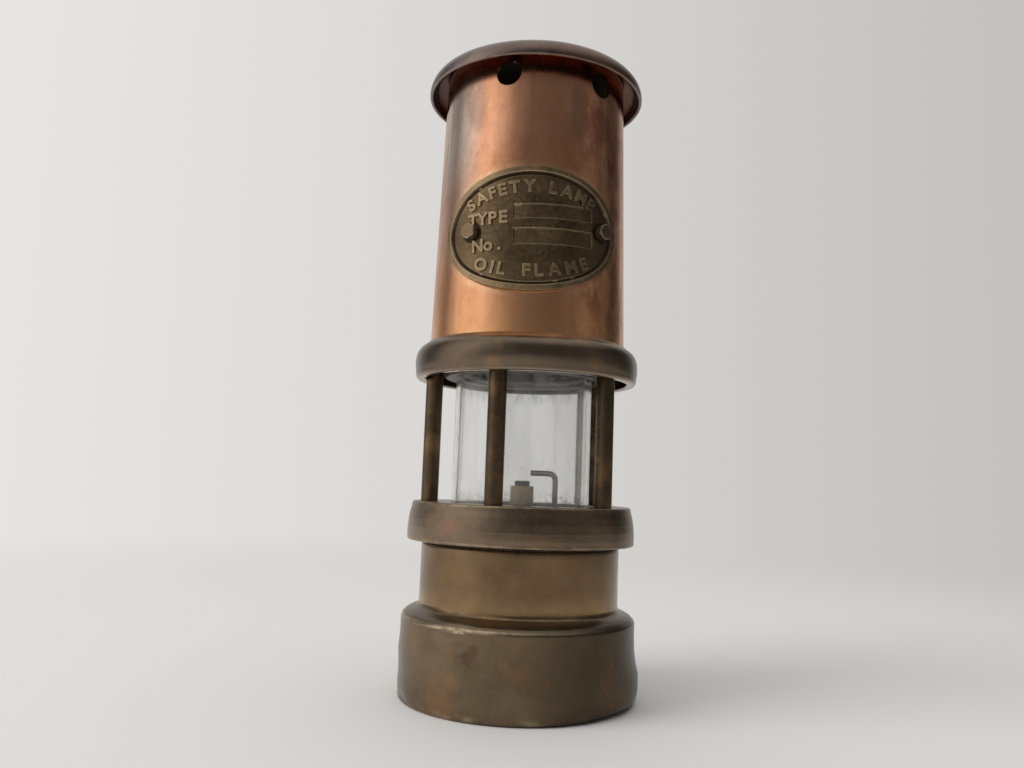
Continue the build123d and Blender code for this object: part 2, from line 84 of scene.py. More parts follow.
# ------------------------------------------------------------------ node helpers
class Mat:
    """A small builder for procedural materials."""

    def __init__(self, name):
        self.m = bpy.data.materials.new(name)
        self.m.use_nodes = True
        self.t = self.m.node_tree
        self.t.nodes.clear()
        self.out = self.t.nodes.new("ShaderNodeOutputMaterial")
        self.bsdf = self.t.nodes.new("ShaderNodeBsdfPrincipled")
        self.t.links.new(self.bsdf.outputs[0], self.out.inputs[0])
        self.co = self.t.nodes.new("ShaderNodeTexCoord").outputs["Object"]
        self._sep = None

    def link(self, a, b):
        self.t.links.new(a, b)

    def put(self, sock, v):
        if isinstance(v, (int, float)):
            sock.default_value = v
        elif isinstance(v, (tuple, list)):
            sock.default_value = v if len(v) == len(sock.default_value) else tuple(v) + (1.0,)
        else:
            self.link(v, sock)

    def math(self, op, a, b=None, c=None, clamp=False):
        n = self.t.nodes.new("ShaderNodeMath")
        n.operation = op
        n.use_clamp = clamp
        self.put(n.inputs[0], a)
        if b is not None:
            self.put(n.inputs[1], b)
        if c is not None:
            self.put(n.inputs[2], c)
        return n.outputs[0]

    def mapr(self, v, a, b, lo=0.0, hi=1.0, kind="SMOOTHSTEP"):
        n = self.t.nodes.new("ShaderNodeMapRange")
        n.interpolation_type = kind
        self.put(n.inputs[0], v)
        n.inputs[1].default_value = a
        n.inputs[2].default_value = b
        n.inputs[3].default_value = lo
        n.inputs[4].default_value = hi
        return n.outputs[0]

    def scaled(self, s):
        n = self.t.nodes.new("ShaderNodeVectorMath")
        n.operation = "MULTIPLY"
        self.link(self.co, n.inputs[0])
        n.inputs[1].default_value = s
        return n.outputs[0]

    def noise(self, scale, detail=4.0, rough=0.55, stretch=(1, 1, 1), dist=0.0, offset=(0, 0, 0)):
        v = self.scaled(tuple(scale * k for k in stretch))
        if any(offset):
            a = self.t.nodes.new("ShaderNodeVectorMath")
            a.operation = "ADD"
            self.link(v, a.inputs[0])
            a.inputs[1].default_value = offset
            v = a.outputs[0]
        n = self.t.nodes.new("ShaderNodeTexNoise")
        n.inputs["Scale"].default_value = 1.0
        n.inputs["Detail"].default_value = detail
        n.inputs["Roughness"].default_value = rough
        n.inputs["Distortion"].default_value = dist
        self.link(v, n.inputs["Vector"])
        return n.outputs["Fac"]

    def voronoi(self, scale, feature="F1", stretch=(1, 1, 1)):
        n = self.t.nodes.new("ShaderNodeTexVoronoi")
        n.feature = feature
        n.inputs["Scale"].default_value = 1.0
        self.link(self.scaled(tuple(scale * k for k in stretch)), n.inputs["Vector"])
        return n.outputs["Distance"]

    def xyz(self):
        if self._sep is None:
            n = self.t.nodes.new("ShaderNodeSeparateXYZ")
            self.link(self.co, n.inputs[0])
            x, y, z = n.outputs
            ang = self.math("ARCTAN2", x, self.math("MULTIPLY", y, -1.0))
            rad = self.math("SQRT", self.math("ADD", self.math("MULTIPLY", x, x), self.math("MULTIPLY", y, y)))
            self._sep = (x, y, z, ang, rad)
        return self._sep

    def mix(self, fac, a, b, mode="MIX"):
        n = self.t.nodes.new("ShaderNodeMix")
        n.data_type = "RGBA"
        n.blend_type = mode
        self.put(n.inputs[0], fac)
        self.put(n.inputs[6], a)
        self.put(n.inputs[7], b)
        return n.outputs[2]

    def ramp(self, v, stops):
        n = self.t.nodes.new("ShaderNodeValToRGB")
        self.link(v, n.inputs[0])
        e = n.color_ramp.elements
        while len(e) > 1:
            e.remove(e[-1])
        e[0].position, e[0].color = stops[0][0], tuple(stops[0][1]) + (1.0,)
        for p, c in stops[1:]:
            k = e.new(p)
            k.color = tuple(c) + (1.0,)
        return n.outputs[0]

    def spot(self, az, z, ra, rz, wob=0.35, scale=260.0):
        """Soft blotch on a turned surface round azimuth az (degrees) and height z (mm), with an uneven edge."""
        x, y, zz, ang, rad = self.xyz()
        a = self.math("DIVIDE", self.math("SUBTRACT", ang, math.radians(az)), math.radians(ra))
        h = self.math("DIVIDE", self.math("SUBTRACT", zz, z * MM), rz * MM)
        d = self.math("SQRT", self.math("ADD", self.math("MULTIPLY", a, a), self.math("MULTIPLY", h, h)))
        d = self.math("ADD", d, self.math("MULTIPLY", self.math("SUBTRACT", self.noise(scale, 3.0), 0.5), wob * 2))
        return self.mapr(d, 0.55, 1.15, 1.0, 0.0)

    def bump(self, h, strength=0.3, dist=0.0001, prev=None):
        n = self.t.nodes.new("ShaderNodeBump")
        n.inputs["Strength"].default_value = strength
        n.inputs["Distance"].default_value = dist
        self.put(n.inputs["Height"], h)
        if prev is not None:
            self.link(prev, n.inputs["Normal"])
        return n.outputs[0]

    def done(self, color=None, rough=None, metal=None, normal=None, **kw):
        b = self.bsdf.inputs
        if color is not None:
            self.put(b["Base Color"], color)
        if rough is not None:
            self.put(b["Roughness"], rough)
        if metal is not None:
            self.put(b["Metallic"], metal)
        if normal is not None:
            self.put(b["Normal"], normal)
        for k, v in kw.items():
            self.put(b[k.replace("_", " ")], v)
        return self.m


# ------------------------------------------------------------------ materials
def brass_base(name, dark, mid, light, warm=(0.30, 0.17, 0.08), rough=(0.34, 0.52), turned=0.25, metal=0.97, scale=1.0, extra=None, painted_shade=None):
    """Old brass under a brown patina: clouds, fine grain, turning lines, tiny pits; on request a painted shade darkens
    the right-hand side.
    """
    m = Mat(name)
    x, y, z, ang, rad = m.xyz()
    cloud = m.noise(55 * scale, 4.0, 0.6, dist=0.4)
    fine = m.noise(420 * scale, 5.0, 0.65)
    v = m.math("ADD", m.math("MULTIPLY", cloud, 0.7), m.math("MULTIPLY", fine, 0.3))
    col = m.ramp(v, [(0.30, dark), (0.5, mid), (0.70, light)])
    warmth = m.mapr(m.noise(95 * scale, 3.0, 0.6, offset=(7.3, 2.1, 5.5)), 0.52, 0.72, 0.0, 0.55)
    col = m.mix(warmth, col, warm)
    lines = m.noise(1.0, 3.0, 0.7, stretch=(2.0, 2.0, 5200.0))
    pits = m.mapr(m.voronoi(900), 0.02, 0.10, 1.0, 0.0)
    keep = m.mapr(m.noise(170, 2.0), 0.52, 0.60, 0.0, 1.0)
    pits = m.math("MULTIPLY", pits, keep)
    col = m.mix(m.math("MULTIPLY", pits, 0.55), col, (0.02, 0.015, 0.012))
    r = m.mapr(m.math("ADD", m.math("MULTIPLY", cloud, 0.6), m.math("MULTIPLY", fine, 0.4)), 0.35, 0.65, rough[0], rough[1], "LINEAR")
    if extra:
        col, r = extra(m, col, r)
    n1 = m.bump(lines, 0.35 * turned / 0.25, 0.00002)
    n2 = m.bump(m.math("SUBTRACT", m.noise(260, 4.0, 0.6), m.math("MULTIPLY", pits, 0.6)), 0.22, 0.00008, n1)
    # painted shade: the right-hand side darkened towards black, on the outer surface
    if painted_shade:
        side = m.math("MULTIPLY", m.mapr(m.math("DIVIDE", x, m.math("MAXIMUM", rad, 0.001)), painted_shade[0], painted_shade[1], 0.0, painted_shade[2]), m.mapr(rad, painted_shade[3], painted_shade[3] + 0.0015))
        col = m.mix(side, col, (0.0, 0.0, 0.0))
    return m.done(col, r, metal, n2, Specular_IOR_Level=0.5)


def base_extra(m, col, r):
    x, y, z, ang, rad = m.xyz()
    # the neck is the cleanest brass; low down, above the shoulder, it gets a painted golden highlight
    neck = m.math("MULTIPLY", m.mapr(z, 0.0225, 0.0245), m.mapr(rad, 0.0285, 0.0270))
    cl = m.noise(70, 4.0, 0.6, offset=(3, 9, 1))
    gold = m.ramp(cl, [(0.33, (0.145, 0.092, 0.050)), (0.5, (0.195, 0.124, 0.066)), (0.68, (0.255, 0.164, 0.086))])
    col = m.mix(m.math("MULTIPLY", neck, 0.85), col, gold)
    # painted highlight: bright gold low on the neck, just above the shoulder
    low = m.math("MULTIPLY", neck, m.mapr(z, 0.030, 0.0235))
    col = m.mix(m.math("MULTIPLY", low, m.mapr(m.noise(60, 3.0, 0.5, offset=(1, 5, 2)), 0.36, 0.62, 0.15, 0.6)), col, (0.50, 0.33, 0.145))
    # bright worn edge of the shoulder, painted brighter on the left as a highlight
    e = m.math("ABSOLUTE", m.math("SUBTRACT", z, 0.02075))
    edge_wear_and_highlight = m.math("MULTIPLY", m.mapr(e, 0.00015, 0.00060, 1.0, 0.0), m.mapr(m.noise(330, 3.0), 0.34, 0.60, 0.25, 1.0))
    edge_wear_and_highlight = m.math("MULTIPLY", edge_wear_and_highlight, m.math("MULTIPLY", m.mapr(rad, 0.0300, 0.0306), m.mapr(m.math("DIVIDE", x, m.math("MAXIMUM", rad, 0.001)), -0.35, 0.2, 1.0, 0.25)))
    col = m.mix(m.math("MULTIPLY", edge_wear_and_highlight, 0.75), col, (0.62, 0.50, 0.34))
    # painted highlight: a bright glint in the nick of the shoulder's edge
    nick = m.math("MULTIPLY", m.spot(-28.5, 20.1, 6.5, 0.55, 0.8, 420.0), m.mapr(m.noise(700, 4.0, 0.7), 0.38, 0.58, 0.15, 1.0))
    col = m.mix(m.math("MULTIPLY", nick, 0.7), col, (0.74, 0.60, 0.42))
    # rubbed bottom edge
    wb = m.math("MULTIPLY", m.mapr(z, 0.0026, 0.0008), m.mapr(m.noise(240, 4.0), 0.45, 0.65, 0.0, 0.8))
    col = m.mix(m.math("MULTIPLY", wb, 0.6), col, (0.50, 0.38, 0.24))
    # copper showing through low on the right, and a red spot in the dent on the left
    s1 = m.math("MAXIMUM", m.spot(52, 3.0, 9, 5.0, 0.55, 420.0), m.math("MULTIPLY", m.spot(46, 8.5, 8, 7.5, 0.7, 300.0), 0.6))
    fleck = m.mapr(m.noise(620, 4.0, 0.7), 0.42, 0.62, 0.15, 1.0)
    col = m.mix(m.math("MULTIPLY", m.math("MULTIPLY", s1, fleck), 0.55), col, (0.48, 0.26, 0.115))
    s2 = m.spot(-20.5, 15.3, 4.4, 2.6, 0.8, 330.0)
    col = m.mix(m.math("MULTIPLY", s2, 0.55), col, (0.105, 0.048, 0.032))
    # darker in the corner of shoulder and neck, broken up by noise
    c = m.math("MULTIPLY", m.mapr(m.math("ABSOLUTE", m.math("SUBTRACT", z, 0.0237)), 0.0001, 0.0007, 1.0, 0.0), m.mapr(m.noise(190, 3.0), 0.42, 0.6, 0.0, 0.45))
    col = m.mix(c, col, (0.06, 0.045, 0.03))
    r = m.math("SUBTRACT", r, m.math("MULTIPLY", m.math("MAXIMUM", edge_wear_and_highlight, m.math("MULTIPLY", neck, 0.4)), 0.12))
    return col, r


def ring_extra(m, col, r):
    x, y, z, ang, rad = m.xyz()
    t = m.noise(1.0, 2.0, 0.6, stretch=(1.0, 1.0, 3600.0))
    col = m.mix(m.mapr(t, 0.5, 0.72, 0.0, 0.18), col, (0.36, 0.26, 0.16))
    s = m.math("MULTIPLY", m.spot(-36, 44.4, 8.0, 2.8, 0.9, 300.0), m.mapr(m.noise(640, 4.0, 0.7, offset=(3, 3, 3)), 0.42, 0.60, 0.1, 1.0))
    col = m.mix(m.math("MULTIPLY", s, 0.40), col, (0.36, 0.16, 0.10))
    e = m.math("MAXIMUM", m.mapr(m.math("ABSOLUTE", m.math("SUBTRACT", z, 0.0499)), 0.0001, 0.0005, 1.0, 0.0), m.mapr(m.math("ABSOLUTE", m.math("SUBTRACT", z, 0.0406)), 0.0001, 0.0005, 1.0, 0.0))
    e = m.math("MULTIPLY", e, m.mapr(m.noise(300, 3.0), 0.38, 0.60, 0.1, 0.8))
    col = m.mix(m.math("MULTIPLY", e, 0.6), col, (0.50, 0.39, 0.25))
    return col, r


def flange_extra(m, col, r):
    x, y, z, ang, rad = m.xyz()
    # painted highlight along the rounded top of the flange, broken up by noise
    top = m.math("MULTIPLY", m.mapr(z, 0.0900, 0.0925), m.mapr(m.noise(200, 3.0), 0.40, 0.62, 0.15, 0.8))
    col = m.mix(m.math("MULTIPLY", top, 0.5), col, (0.45, 0.33, 0.20))
    # painted highlight: the bottom lip of the flange lighter
    under = m.mapr(z, 0.0838, 0.0831)
    col = m.mix(m.math("MULTIPLY", under, 0.35), col, (0.50, 0.42, 0.32))
    return col, r


def copper_material(name, tube=True):
    m = Mat(name)
    x, y, z, ang, rad = m.xyz()
    st = m.noise(120, 4.0, 0.6, stretch=(1, 1, 0.16), dist=0.3)
    cl = m.noise(62, 4.0, 0.62, stretch=(1, 1, 0.55), offset=(1.7, 4.2, 0.6), dist=0.6)
    fine = m.noise(700, 4.0, 0.7)
    v = m.math("ADD", m.math("ADD", m.math("MULTIPLY", cl, 0.55), m.math("MULTIPLY", st, 0.30)), m.math("MULTIPLY", fine, 0.15))
    tone = m.ramp(v, [(0.30, (0.44, 0.35, 0.29)), (0.42, (0.72, 0.64, 0.59)), (0.53, (0.94, 0.91, 0.89)), (0.68, (1.0, 1.0, 1.0))])
    # painted reflection of the window: a pale, less saturated band on the left of the tube
    painted_window_band = m.math("MULTIPLY", m.mapr(m.math("ABSOLUTE", m.math("ADD", ang, 0.95)), 0.10, 0.46, 1.0, 0.0), m.mapr(z, 0.104, 0.150))
    clean = m.mix(m.mapr(z, 0.110, 0.150), (0.96, 0.49, 0.26), (0.86, 0.45, 0.27))
    clean = m.mix(painted_window_band, clean, (0.96, 0.80, 0.70))
    col = m.mix(1.0, clean, tone, "MULTIPLY")
    # tarnish runs: duller brown streaks down the wall
    run = m.mapr(m.noise(210, 3.0, 0.6, stretch=(1, 1, 0.07), offset=(9.1, 0.4, 3.3)), 0.55, 0.68, 0.0, 0.55)
    run = m.math("MULTIPLY", run, m.mapr(m.noise(50, 2.0, 0.5, offset=(4, 4, 8)), 0.42, 0.60))
    col = m.mix(run, col, (0.36, 0.215, 0.155))
    r = m.mapr(v, 0.35, 0.65, 0.27, 0.17, "LINEAR")
    r = m.math("ADD", r, m.math("MULTIPLY", run, 0.12))
    if tube:
        # the inner wall goes near black: soot, and painted shade that keeps the vents dark
        wall = m.math("SUBTRACT", rad, m.math("SUBTRACT", 26.65 * MM, m.math("MULTIPLY", m.math("SUBTRACT", z, 92.0 * MM), 1.5 / 68.0)))
        soot_and_shade = m.mapr(wall, -0.0006, -0.00035, 0.94, 0.0)
        # darker brown patches high up at the left and at the right
        s = m.math("MAXIMUM", m.spot(-36, 153, 7, 7.5, 0.35, 240.0), m.spot(27, 152, 6.5, 9.5, 0.35, 260.0))
        col = m.mix(m.math("MULTIPLY", s, 0.50), col, (0.33, 0.22, 0.165))
        # mottled red patina at the right, painted darker there as shade on that side
        right = m.math("MULTIPLY", m.mapr(ang, 0.12, 0.75), m.mapr(ang, 2.3, 1.5))
        mott = m.mapr(m.noise(210, 5.0, 0.7, stretch=(1, 1, 0.6), offset=(2, 2, 2)), 0.40, 0.60, 0.10, 1.0)
        col = m.mix(m.math("MULTIPLY", m.math("MULTIPLY", right, mott), 0.80), col, (0.40, 0.150, 0.085))
        # painted golden highlight low on the tube, just above the ring
        painted_low_glow = m.math("MULTIPLY", m.mapr(z, 0.1035, 0.0935), m.mapr(m.noise(240, 4.0, 0.6), 0.36, 0.60, 0.2, 1.0))
        col = m.mix(m.math("MULTIPLY", painted_low_glow, 0.5), col, (0.98, 0.52, 0.22))
        # soot and polish round the oval plate
        au = m.math("MULTIPLY", ang, 26.0 / 1.0)
        u = m.math("DIVIDE", au, 26.6)
        w = m.math("DIVIDE", m.math("SUBTRACT", z, PLATE_Z * MM), 17.2 * MM)
        d = m.math("SQRT", m.math("ADD", m.math("MULTIPLY", u, u), m.math("MULTIPLY", w, w)))
        halo = m.mapr(m.math("ABSOLUTE", m.math("SUBTRACT", d, 0.985)), 0.0, 0.075, 1.0, 0.0)
        halo = m.math("MULTIPLY", halo, m.mapr(m.noise(380, 4.0, 0.7), 0.36, 0.60, 0.1, 1.0))
        col = m.mix(m.math("MULTIPLY", halo, 0.5), col, (0.95, 0.62, 0.36))
        # small dark specks
        sp = m.math("MULTIPLY", m.mapr(m.voronoi(420), 0.02, 0.055, 1.0, 0.0), m.mapr(m.noise(140, 2.0), 0.55, 0.60))
        col = m.mix(m.math("MULTIPLY", sp, 0.7), col, (0.06, 0.035, 0.025))
        # darker and redder under the hood: painted shade from the hood, with heat colouring
        heat_colour_and_shade = m.math("MULTIPLY", m.mapr(z, 0.156, 0.1655), 0.6)
        col = m.mix(heat_colour_and_shade, col, (0.36, 0.15, 0.08))
        # inner wall near black: soot and painted shade
        col = m.mix(soot_and_shade, col, (0.018, 0.014, 0.012))
        r = m.math("MAXIMUM", r, m.math("MULTIPLY", soot_and_shade, 0.8))
    brush = m.noise(1.0, 2.0, 0.6, stretch=(900.0, 900.0, 40.0))
    n1 = m.bump(brush, 0.16, 0.00002)
    n2 = m.bump(m.noise(150, 4.0, 0.6), 0.20, 0.00012, n1)
    return m.done(col, r, 1.0, n2, Specular_IOR_Level=0.5)


def hood_material():
    m = Mat("hood_metal")
    x, y, z, ang, rad = m.xyz()
    cl = m.noise(60, 4.0, 0.6, dist=0.5)
    fine = m.noise(520, 4.0, 0.65)
    v = m.math("ADD", m.math("MULTIPLY", cl, 0.7), m.math("MULTIPLY", fine, 0.3))
    col = m.ramp(v, [(0.32, (0.125, 0.088, 0.070)), (0.5, (0.20, 0.145, 0.118)), (0.68, (0.29, 0.215, 0.18))])
    # painted lilac-grey highlight on the left of the crown
    painted_lilac_highlight = m.math("MULTIPLY", m.mapr(m.noise(85, 3.0, 0.6, offset=(5, 1, 2)), 0.42, 0.62, 0.1, 0.7), m.mapr(x, 0.004, -0.012))
    # painted shade: the right side of the hood darker brown
    col = m.mix(m.mapr(x, -0.014, 0.014, 0.0, 0.68), col, (0.150, 0.092, 0.066))
    col = m.mix(painted_lilac_highlight, col, (0.235, 0.21, 0.245))
    # the inside keeps a deep red oxide
    geo = m.t.nodes.new("ShaderNodeNewGeometry")
    sep = m.t.nodes.new("ShaderNodeSeparateXYZ")
    m.link(m.co, sep.inputs[0])
    under = m.math("MULTIPLY", m.mapr(rad, 0.02935, 0.02925), m.mapr(m.math("SUBTRACT", z, 0.0), 0.1700, 0.1698))
    att = m.t.nodes.new("ShaderNodeAttribute")
    att.attribute_name = "inside"
    red = m.ramp(cl, [(0.35, (0.060, 0.022, 0.014)), (0.65, (0.125, 0.050, 0.032))])
    col = m.mix(att.outputs["Fac"], col, red)
    # painted highlight: a thin light line along the lip's edge
    painted_lip_highlight = m.math("MULTIPLY", m.mapr(m.math("ABSOLUTE", m.math("SUBTRACT", z, 0.16365)), 0.0001, 0.00045, 1.0, 0.0), m.mapr(m.noise(300, 3.0), 0.35, 0.6, 0.1, 0.7))
    col = m.mix(m.math("MULTIPLY", painted_lip_highlight, 0.35), col, (0.36, 0.30, 0.26))
    r = m.mapr(v, 0.35, 0.65, 0.20, 0.32, "LINEAR")
    n1 = m.bump(m.noise(1.0, 2.0, 0.6, stretch=(2, 2, 4000.0)), 0.12, 0.00002)
    n2 = m.bump(m.noise(170, 4.0, 0.6), 0.25, 0.00012, n1)
    return m.done(col, r, 1.0, n2)


def plate_material(name, lift=1.0):
    """Bronze left dark in the hollows and rubbed bright on everything that stands up, with painted shade near black in
    the groove, on the side wall and round the pins, and over the right-hand side.
    """
    m = Mat(name)
    x, y, z, ang, rad = m.xyz()
    cl = m.noise(120, 4.0, 0.6, dist=0.3)
    fine = m.noise(950, 4.0, 0.7)
    v = m.math("ADD", m.math("MULTIPLY", cl, 0.55), m.math("MULTIPLY", fine, 0.45))
    high = m.ramp(v, [(0.32, (0.21 * lift, 0.155 * lift, 0.085 * lift)), (0.5, (0.335 * lift, 0.232 * lift, 0.130 * lift)), (0.68, (0.48 * lift, 0.345 * lift, 0.20 * lift))])
    low = m.ramp(v, [(0.32, (0.105, 0.072, 0.040)), (0.5, (0.185, 0.126, 0.069)), (0.68, (0.29, 0.202, 0.112))])
    att = m.t.nodes.new("ShaderNodeAttribute")
    att.attribute_name = "deep"
    col = m.mix(m.mapr(att.outputs["Fac"], 0.0, 0.7), high, low)
    # painted shade: near black in the groove, on the side wall and round the pins
    col = m.mix(m.mapr(att.outputs["Fac"], 0.70, 1.0, 0.0, 0.9), col, (0.02, 0.014, 0.009))
    geo = m.t.nodes.new("ShaderNodeNewGeometry")
    edge = m.mapr(geo.outputs["Pointiness"], 0.505, 0.56, 0.0, 0.55)
    col = m.mix(edge, col, (0.55, 0.44, 0.28))
    # painted shade over the right-hand side of the plate
    col = m.mix(m.mapr(ang, -0.1, 0.80, 0.0, 0.62), col, (0.05, 0.034, 0.02))
    r = m.mapr(v, 0.35, 0.65, 0.30, 0.44, "LINEAR")
    n2 = m.bump(m.noise(520, 5.0, 0.7), 0.35, 0.00006)
    return m.done(col, r, 0.95, n2)


def glass_material():
    m = Mat("lamp_glass")
    x, y, z, ang, rad = m.xyz()
    # specks of soot and a film of dust, thicker at both ends
    sp = m.math("MULTIPLY", m.mapr(m.voronoi(560), 0.05, 0.12, 1.0, 0.0), m.mapr(m.noise(95, 2.0, 0.5, offset=(3, 1, 1)), 0.46, 0.56))
    top = m.math("MULTIPLY", m.mapr(z, 0.0760, 0.0830), m.mapr(m.noise(300, 4.0, 0.7, stretch=(1, 1, 0.5)), 0.40, 0.66, 0.05, 0.75))
    foot = m.math("MULTIPLY", m.mapr(z, 0.0560, 0.0500), m.mapr(m.noise(600, 4.0, 0.7), 0.46, 0.66, 0.0, 0.45))
    dirt = m.math("MAXIMUM", m.math("MULTIPLY", sp, 0.9), m.math("MAXIMUM", m.math("MULTIPLY", top, 0.55), foot))
    film = m.mapr(m.noise(60, 4.0, 0.65, stretch=(1, 1, 0.35), offset=(0, 6, 2)), 0.35, 0.70, 0.06, 0.24)
    b = m.bsdf.inputs
    b["Base Color"].default_value = (0.985, 0.992, 0.985, 1)
    b["IOR"].default_value = 1.46
    m.put(b["Roughness"], m.math("ADD", 0.015, m.math("MULTIPLY", film, 0.16)))
    b["Transmission Weight"].default_value = 1.0
    d = m.t.nodes.new("ShaderNodeBsdfPrincipled")
    d.inputs["Roughness"].default_value = 0.9
    m.link(m.mix(m.math("MINIMUM", m.math("MULTIPLY", dirt, 1.5), 1.0), (0.90, 0.89, 0.87), (0.075, 0.065, 0.055)), d.inputs["Base Color"])
    mx = m.t.nodes.new("ShaderNodeMixShader")
    m.link(m.math("MAXIMUM", dirt, m.math("MULTIPLY", film, 0.55)), mx.inputs[0])
    m.link(m.bsdf.outputs[0], mx.inputs[1])
    m.link(d.outputs[0], mx.inputs[2])
    m.link(mx.outputs[0], m.out.inputs[0])
    return m.m


def cloth_material(name, c0, c1, scale, char=None):
    m = Mat(name)
    x, y, z, ang, rad = m.xyz()
    f = m.noise(scale, 5.0, 0.7, stretch=(1, 1, 0.35))
    col = m.ramp(f, [(0.35, c0), (0.65, c1)])
    if char is not None:
        burnt = m.mapr(m.math("ADD", z, m.math("MULTIPLY", m.noise(500, 3.0), 0.003)), char * MM, (char + 2.4) * MM, 0.0, 0.97)
        col = m.mix(burnt, col, (0.012, 0.010, 0.009))
    n = m.bump(m.noise(scale * 2, 5.0, 0.75, stretch=(1, 1, 0.4)), 0.6, 0.0002)
    return m.done(col, 0.92, 0.0, n, Sheen_Weight=0.25)


# the vessel and the lower ring get a painted shade over their right-hand sides
MAT_VESSEL = brass_base("vessel_brass", (0.135, 0.098, 0.062), (0.19, 0.138, 0.088), (0.25, 0.185, 0.12), rough=(0.24, 0.36), extra=base_extra, painted_shade=(-0.3, 0.68, 0.62, 0.0275))
MAT_RING = brass_base("ring_brass", (0.155, 0.113, 0.078), (0.225, 0.165, 0.115), (0.30, 0.225, 0.16), rough=(0.24, 0.36), turned=0.30, extra=ring_extra, painted_shade=(-0.1, 0.72, 0.25, 0.001))
MAT_FLANGE = brass_base("flange_brass", (0.125, 0.092, 0.066), (0.165, 0.123, 0.088), (0.205, 0.155, 0.112), rough=(0.20, 0.28), turned=0.10, extra=flange_extra)
MAT_PILLAR = brass_base("pillar_brass", (0.060, 0.040, 0.024), (0.098, 0.067, 0.040), (0.16, 0.110, 0.062), rough=(0.24, 0.38), turned=0.1)
MAT_DULL = brass_base("inner_brass", (0.20, 0.145, 0.08), (0.32, 0.24, 0.135), (0.44, 0.34, 0.20), rough=(0.36, 0.54), turned=0.4)
MAT_SEAT = brass_base("seat_brass", (0.045, 0.036, 0.028), (0.09, 0.07, 0.052), (0.17, 0.14, 0.10), rough=(0.36, 0.55), turned=0.5)
MAT_STEEL = brass_base("wire_steel", (0.14, 0.125, 0.11), (0.26, 0.245, 0.23), (0.40, 0.38, 0.36), warm=(0.20, 0.10, 0.05), rough=(0.32, 0.5), turned=0.3, metal=1.0)
MAT_GAUZE = brass_base("gauze_steel", (0.08, 0.07, 0.06), (0.16, 0.145, 0.13), (0.28, 0.26, 0.24), warm=(0.16, 0.08, 0.04), rough=(0.36, 0.55), turned=0.0, metal=0.9)
MAT_COPPER = copper_material("bonnet_copper")
MAT_HOOD = hood_material()
MAT_PLATE = plate_material("plate_bronze_worn")
MAT_LETTER = plate_material("plate_letter_worn", 1.12)
MAT_PIN = plate_material("pin_bronze_worn", 0.72)
MAT_GLASS = glass_material()
MAT_FIBRE = cloth_material("gasket_fibre", (0.20, 0.18, 0.15), (0.42, 0.39, 0.34), 700)
MAT_LEATHER = cloth_material("seal_hide", (0.022, 0.014, 0.010), (0.07, 0.042, 0.026), 420)
MAT_COTTON = cloth_material("cotton_fill", (0.52, 0.47, 0.38), (0.82, 0.79, 0.72), 260)
MAT_WICK = cloth_material("wick_braid", (0.50, 0.44, 0.34), (0.80, 0.75, 0.66), 900, char=54.0)


# ------------------------------------------------------------------ mesh helpers
def new_object(name, bm, mat, sharp=38.0):
    me = bpy.data.meshes.new(name)
    bm.to_mesh(me)
    bm.free()
    o = bpy.data.objects.new(name, me)
    bpy.context.scene.collection.objects.link(o)
    me.materials.append(mat)
    me.shade_smooth()
    if sharp:
        me.set_sharp_from_angle(angle=math.radians(sharp))
    return o


def rounded(pts, n=6, eps=0.07):
    """Corner points (r, z, fillet radius) of a closed outline, in mm, to a dense outline with true arcs and support points beside them."""
    out = []
    k = len(pts)
    for i in range(k):
        p, a, b = pts[i], pts[i - 1], pts[(i + 1) % k]
        rad = p[2] if len(p) > 2 else 0.0
        P, A, B = Vector(p[:2]), Vector(a[:2]), Vector(b[:2])
        if rad <= 0:
            out.append((P.x, P.y))
            continue
        u, w = (A - P), (B - P)
        lu, lw = u.length, w.length
        u.normalize(); w.normalize()
        ang = math.acos(max(-1, min(1, u.dot(w))))
        t = rad / math.tan(ang / 2)
        t = min(t, lu * 0.49, lw * 0.49)
        rad = t * math.tan(ang / 2)
        c = P + (u + w).normalized() * (rad / math.sin(ang / 2))
        s, e = P + u * t, P + w * t
        out.append(tuple(s + u * min(eps, 0.2 * lu)))
        a0 = math.atan2(s.y - c.y, s.x - c.x)
        a1 = math.atan2(e.y - c.y, e.x - c.x)
        da = (a1 - a0 + math.pi) % (2 * math.pi) - math.pi
        for j in range(n + 1):
            th = a0 + da * j / n
            out.append((c.x + rad * math.cos(th), c.y + rad * math.sin(th)))
        out.append(tuple(e + w * min(eps, 0.2 * lw)))
    return out


def dense(pts, step=1.5):
    out = []
    for i, p in enumerate(pts):
        q = pts[(i + 1) % len(pts)]
        d = math.hypot(q[0] - p[0], q[1] - p[1])
        k = max(1, int(math.ceil(d / step)))
        for j in range(k):
            out.append((p[0] + (q[0] - p[0]) * j / k, p[1] + (q[1] - p[1]) * j / k))
    return out


def lathe_bm(pts, seg=240, shape=None):
    """Closed outline (r, z) in mm turned about +Z. shape(az_deg, r, z) may return a changed (r, z)."""
    bm = bmesh.new()
    rings = []
    for i in range(seg):
        a = 2 * math.pi * i / seg
        az = math.degrees(a)
        az = az - 360 if az > 180 else az
        row = []
        for r, z in pts:
            rr, zz = shape(az, r, z) if shape else (r, z)
            row.append(bm.verts.new((rr * MM * math.sin(a), -rr * MM * math.cos(a), zz * MM)))
        rings.append(row)
    k = len(pts)
    for i in range(seg):
        A, B = rings[i], rings[(i + 1) % seg]
        for j in range(k):
            j2 = (j + 1) % k
            bm.faces.new((A[j], B[j], B[j2], A[j2]))
    bmesh.ops.remove_doubles(bm, verts=bm.verts, dist=1e-7)
    bmesh.ops.recalc_face_normals(bm, faces=bm.faces)
    return bm


def dress(node, mat):
    o = N[node]
    for s in o.material_slots:
        s.material = mat


def put(o, body, slot, *nodes):
    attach(o, body)
    if nodes:
        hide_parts(*nodes)
    return o


